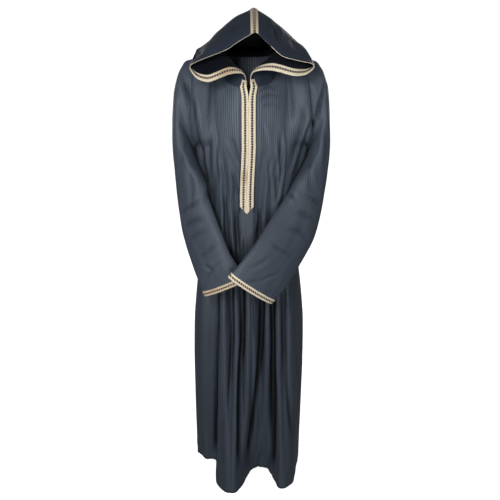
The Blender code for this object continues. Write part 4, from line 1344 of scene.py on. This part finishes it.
braids = {}
for side, name in sides:
    # Up the edge of the slit and on over the foot of the hood, with a slanted end at the bottom
    half = frontHalves[side][fineSlit:]
    half = half[:, ::-1] if side < 0 else half
    hood = hoodFine[side][: 2 * hoodStep + 1].swapaxes(0, 1)
    strip = np.concatenate([acrossStrip(half[:, : 2 * columnSteps + 1]), acrossStrip(hood[1 : hoodStep + 1])])
    node = name + "_placket_braid"
    braids[node] = addBraid(node, strip, (0, -1, 0), profileAt * 0.024, endRoll=True)

    cuff = sleeveFine[side][-(6 // few) - 1 :].swapaxes(0, 1)
    strip = np.array([walk(line[::-1], braidInset + profileAt * cuffBraidWidth) for line in cuff])
    node = name + "_cuff_braid"
    braids[node] = addBraid(node, strip, sleeveNormals[side][-1, few])

    strip = np.array([walk(line, braidInset + profileAt * (runs(line)[-1] - braidInset)) for line in hood])
    node = name + "_hood_braid"
    braids[node] = addBraid(node, strip, -hoodNormals[side][0, hoodStep])

fineCrown = (crownRows - 1) * hoodStep + 1
right = hoodFine[1][:fineCrown, -1 - hoodStep :]
left = hoodFine[-1][:fineCrown, -1 - hoodStep :][:, ::-1]
strip = np.concatenate([right, left[:, 1:]], axis=1)
braids["hood_crown_braid"] = addBraid("hood_crown_braid", strip, (0, -0.5, 1))
print("braids ready")


# Piping: the rolled edge of the hood

piping = {"radius": {-1: 0.0006, 1: 0.0009}}


def addTube(name, line, radius, material):
    count, around = len(line), 8
    along = unit(np.gradient(line, axis=0))
    aside = unit(np.cross(along, (0.3, 0.2, 1.0)))
    up = np.cross(aside, along)
    turn = np.linspace(0, 2 * math.pi, around + 1)[:-1]
    cos, sin = np.cos(turn)[:, None], np.sin(turn)[:, None]
    points = line[:, None] + radius * (aside[:, None] * cos + up[:, None] * sin)
    faces = []
    for r in range(0, (count - 1) * around, around):
        for c in range(around):
            a, b = r + c, r + (c + 1) % around
            faces.append([a, b, b + around, a + around])
    faces.append(list(range(around))[::-1])
    faces.append([(count - 1) * around + c for c in range(around)])
    uv = np.stack([np.tile(turn * radius, count), np.repeat(runs(line), around)], -1)
    return addMesh(name, points.reshape(-1, 3), faces, uv, [material])


for side, name in sides:
    line = hoodFine[side][0, 2:-2] - hoodNormals[side][0, 2:-2] * 0.0006
    if side > 0:
        # On the right the roll is turned under near the top
        line = line[(line[:, 0] > 0.062) | (line[:, 2] < 0.050)]
    pipe = addTube(name + "_hood_piping", line, piping["radius"][side], pipingMaterial)
    claim(pipe, name + "_hood_braid")
    braids[f"{name}_hood_braid"][1].append(pipe)


print("piping ready")


# Stage, light and camera

stage = {
    "floorZ": -1.4235,
    "colour": (0.90, 0.90, 0.90, 1),
    "glow": 0.9,
    # The floor runs from the front to a bend, and up behind it
    "frontY": -6.0,
    "bendY": 2.4,
    "bendRadius": 1.6,
    "height": 6.0,
    "halfWidth": 7.0,
    "ambient": 0.10,
    "surround": 0.88,
}


def addStage():
    turn = np.linspace(0.1, math.pi / 2, 10)
    bendY, radius, top, wide = (stage[k] for k in ("bendY", "bendRadius", "height", "halfWidth"))
    flat = np.linspace(stage["frontY"], bendY, 8)
    depth = np.concatenate([flat, bendY + radius * np.sin(turn), [bendY + radius] * 2])
    rise = np.concatenate([np.zeros(8), radius * (1 - np.cos(turn)), [top / 2, top]])
    points = np.array([[x, y, stage["floorZ"] + z] for y, z in zip(depth, rise) for x in (-wide, wide)])
    quads = gridQuads(len(depth), 2)
    material = plainMaterial("paleFloor", stage["colour"], 0.9)
    shader = material.node_tree.nodes["Principled BSDF"]
    shader.inputs["Emission Color"].default_value = (1, 1, 1, 1)
    shader.inputs["Emission Strength"].default_value = stage["glow"]
    return addMesh("floor", points, quads, points[:, :2], [material])


floor = addStage()
floor.visible_diffuse = False
floor.visible_glossy = False

lights = {
    "key": ((-0.70, -2.1, 0.55), (0.0, 0, -0.20), 0.7, 28),
    "fill": ((1.6, -1.9, 0.2), (0, 0, -0.45), 1.0, 10),
    "left": ((-1.7, -1.6, -0.2), (0, 0, -0.4), 0.8, 6),
    "front": ((0.0, -2.6, -0.75), (0, 0, -0.95), 0.7, 25),
    "rearLeft": ((-1.5, 2.4, 0.3), (0, 0, -0.6), 1.2, 14),
    "rearRight": ((1.4, 2.5, 0.5), (0, 0, -0.5), 1.2, 20),
}


def aim(item, target):
    # Points the lamp's -Z at the target
    way = np.array(target) - np.array(item.location)
    flat = math.hypot(way[0], way[1])
    item.rotation_euler = (math.pi / 2 + math.atan2(way[2], flat), 0, math.atan2(-way[0], way[1]))


for label, (place, target, size, power) in lights.items():
    lamp = bpy.data.lights.new(label, "AREA")
    lamp.size = size
    lamp.energy = power
    item = bpy.data.objects.new(label, lamp)
    item.location = place
    item.visible_camera = False
    aim(item, target)
    bpy.context.scene.collection.objects.link(item)

world = bpy.data.worlds.new("studio")
bpy.context.scene.world = world
world.use_nodes = True
background = world.node_tree.nodes["Background"]
background.inputs[0].default_value = (1, 1, 1, 1)
# The camera sees a white surround, which lights the cloth only faintly
seen = put(world.node_tree, "ShaderNodeLightPath").outputs["Is Camera Ray"]
surround = sums(world.node_tree, "MULTIPLY_ADD", seen, stage["surround"], stage["ambient"])
world.node_tree.links.new(surround, background.inputs[1])
bpy.context.scene.view_settings.view_transform = "Standard"

eye = {"place": (0, -2.3, 0), "pitch": 14.53, "lens": 50.11}
lens = bpy.data.cameras.new("photoCamera")
lens.lens = eye["lens"]
lens.sensor_width = 36
lens.clip_start = 0.05
camera = bpy.data.objects.new("photoCamera", lens)
camera.location = eye["place"]
camera.rotation_euler = (math.radians(90 - eye["pitch"]), 0, 0)
bpy.context.scene.collection.objects.link(camera)
bpy.context.scene.camera = camera
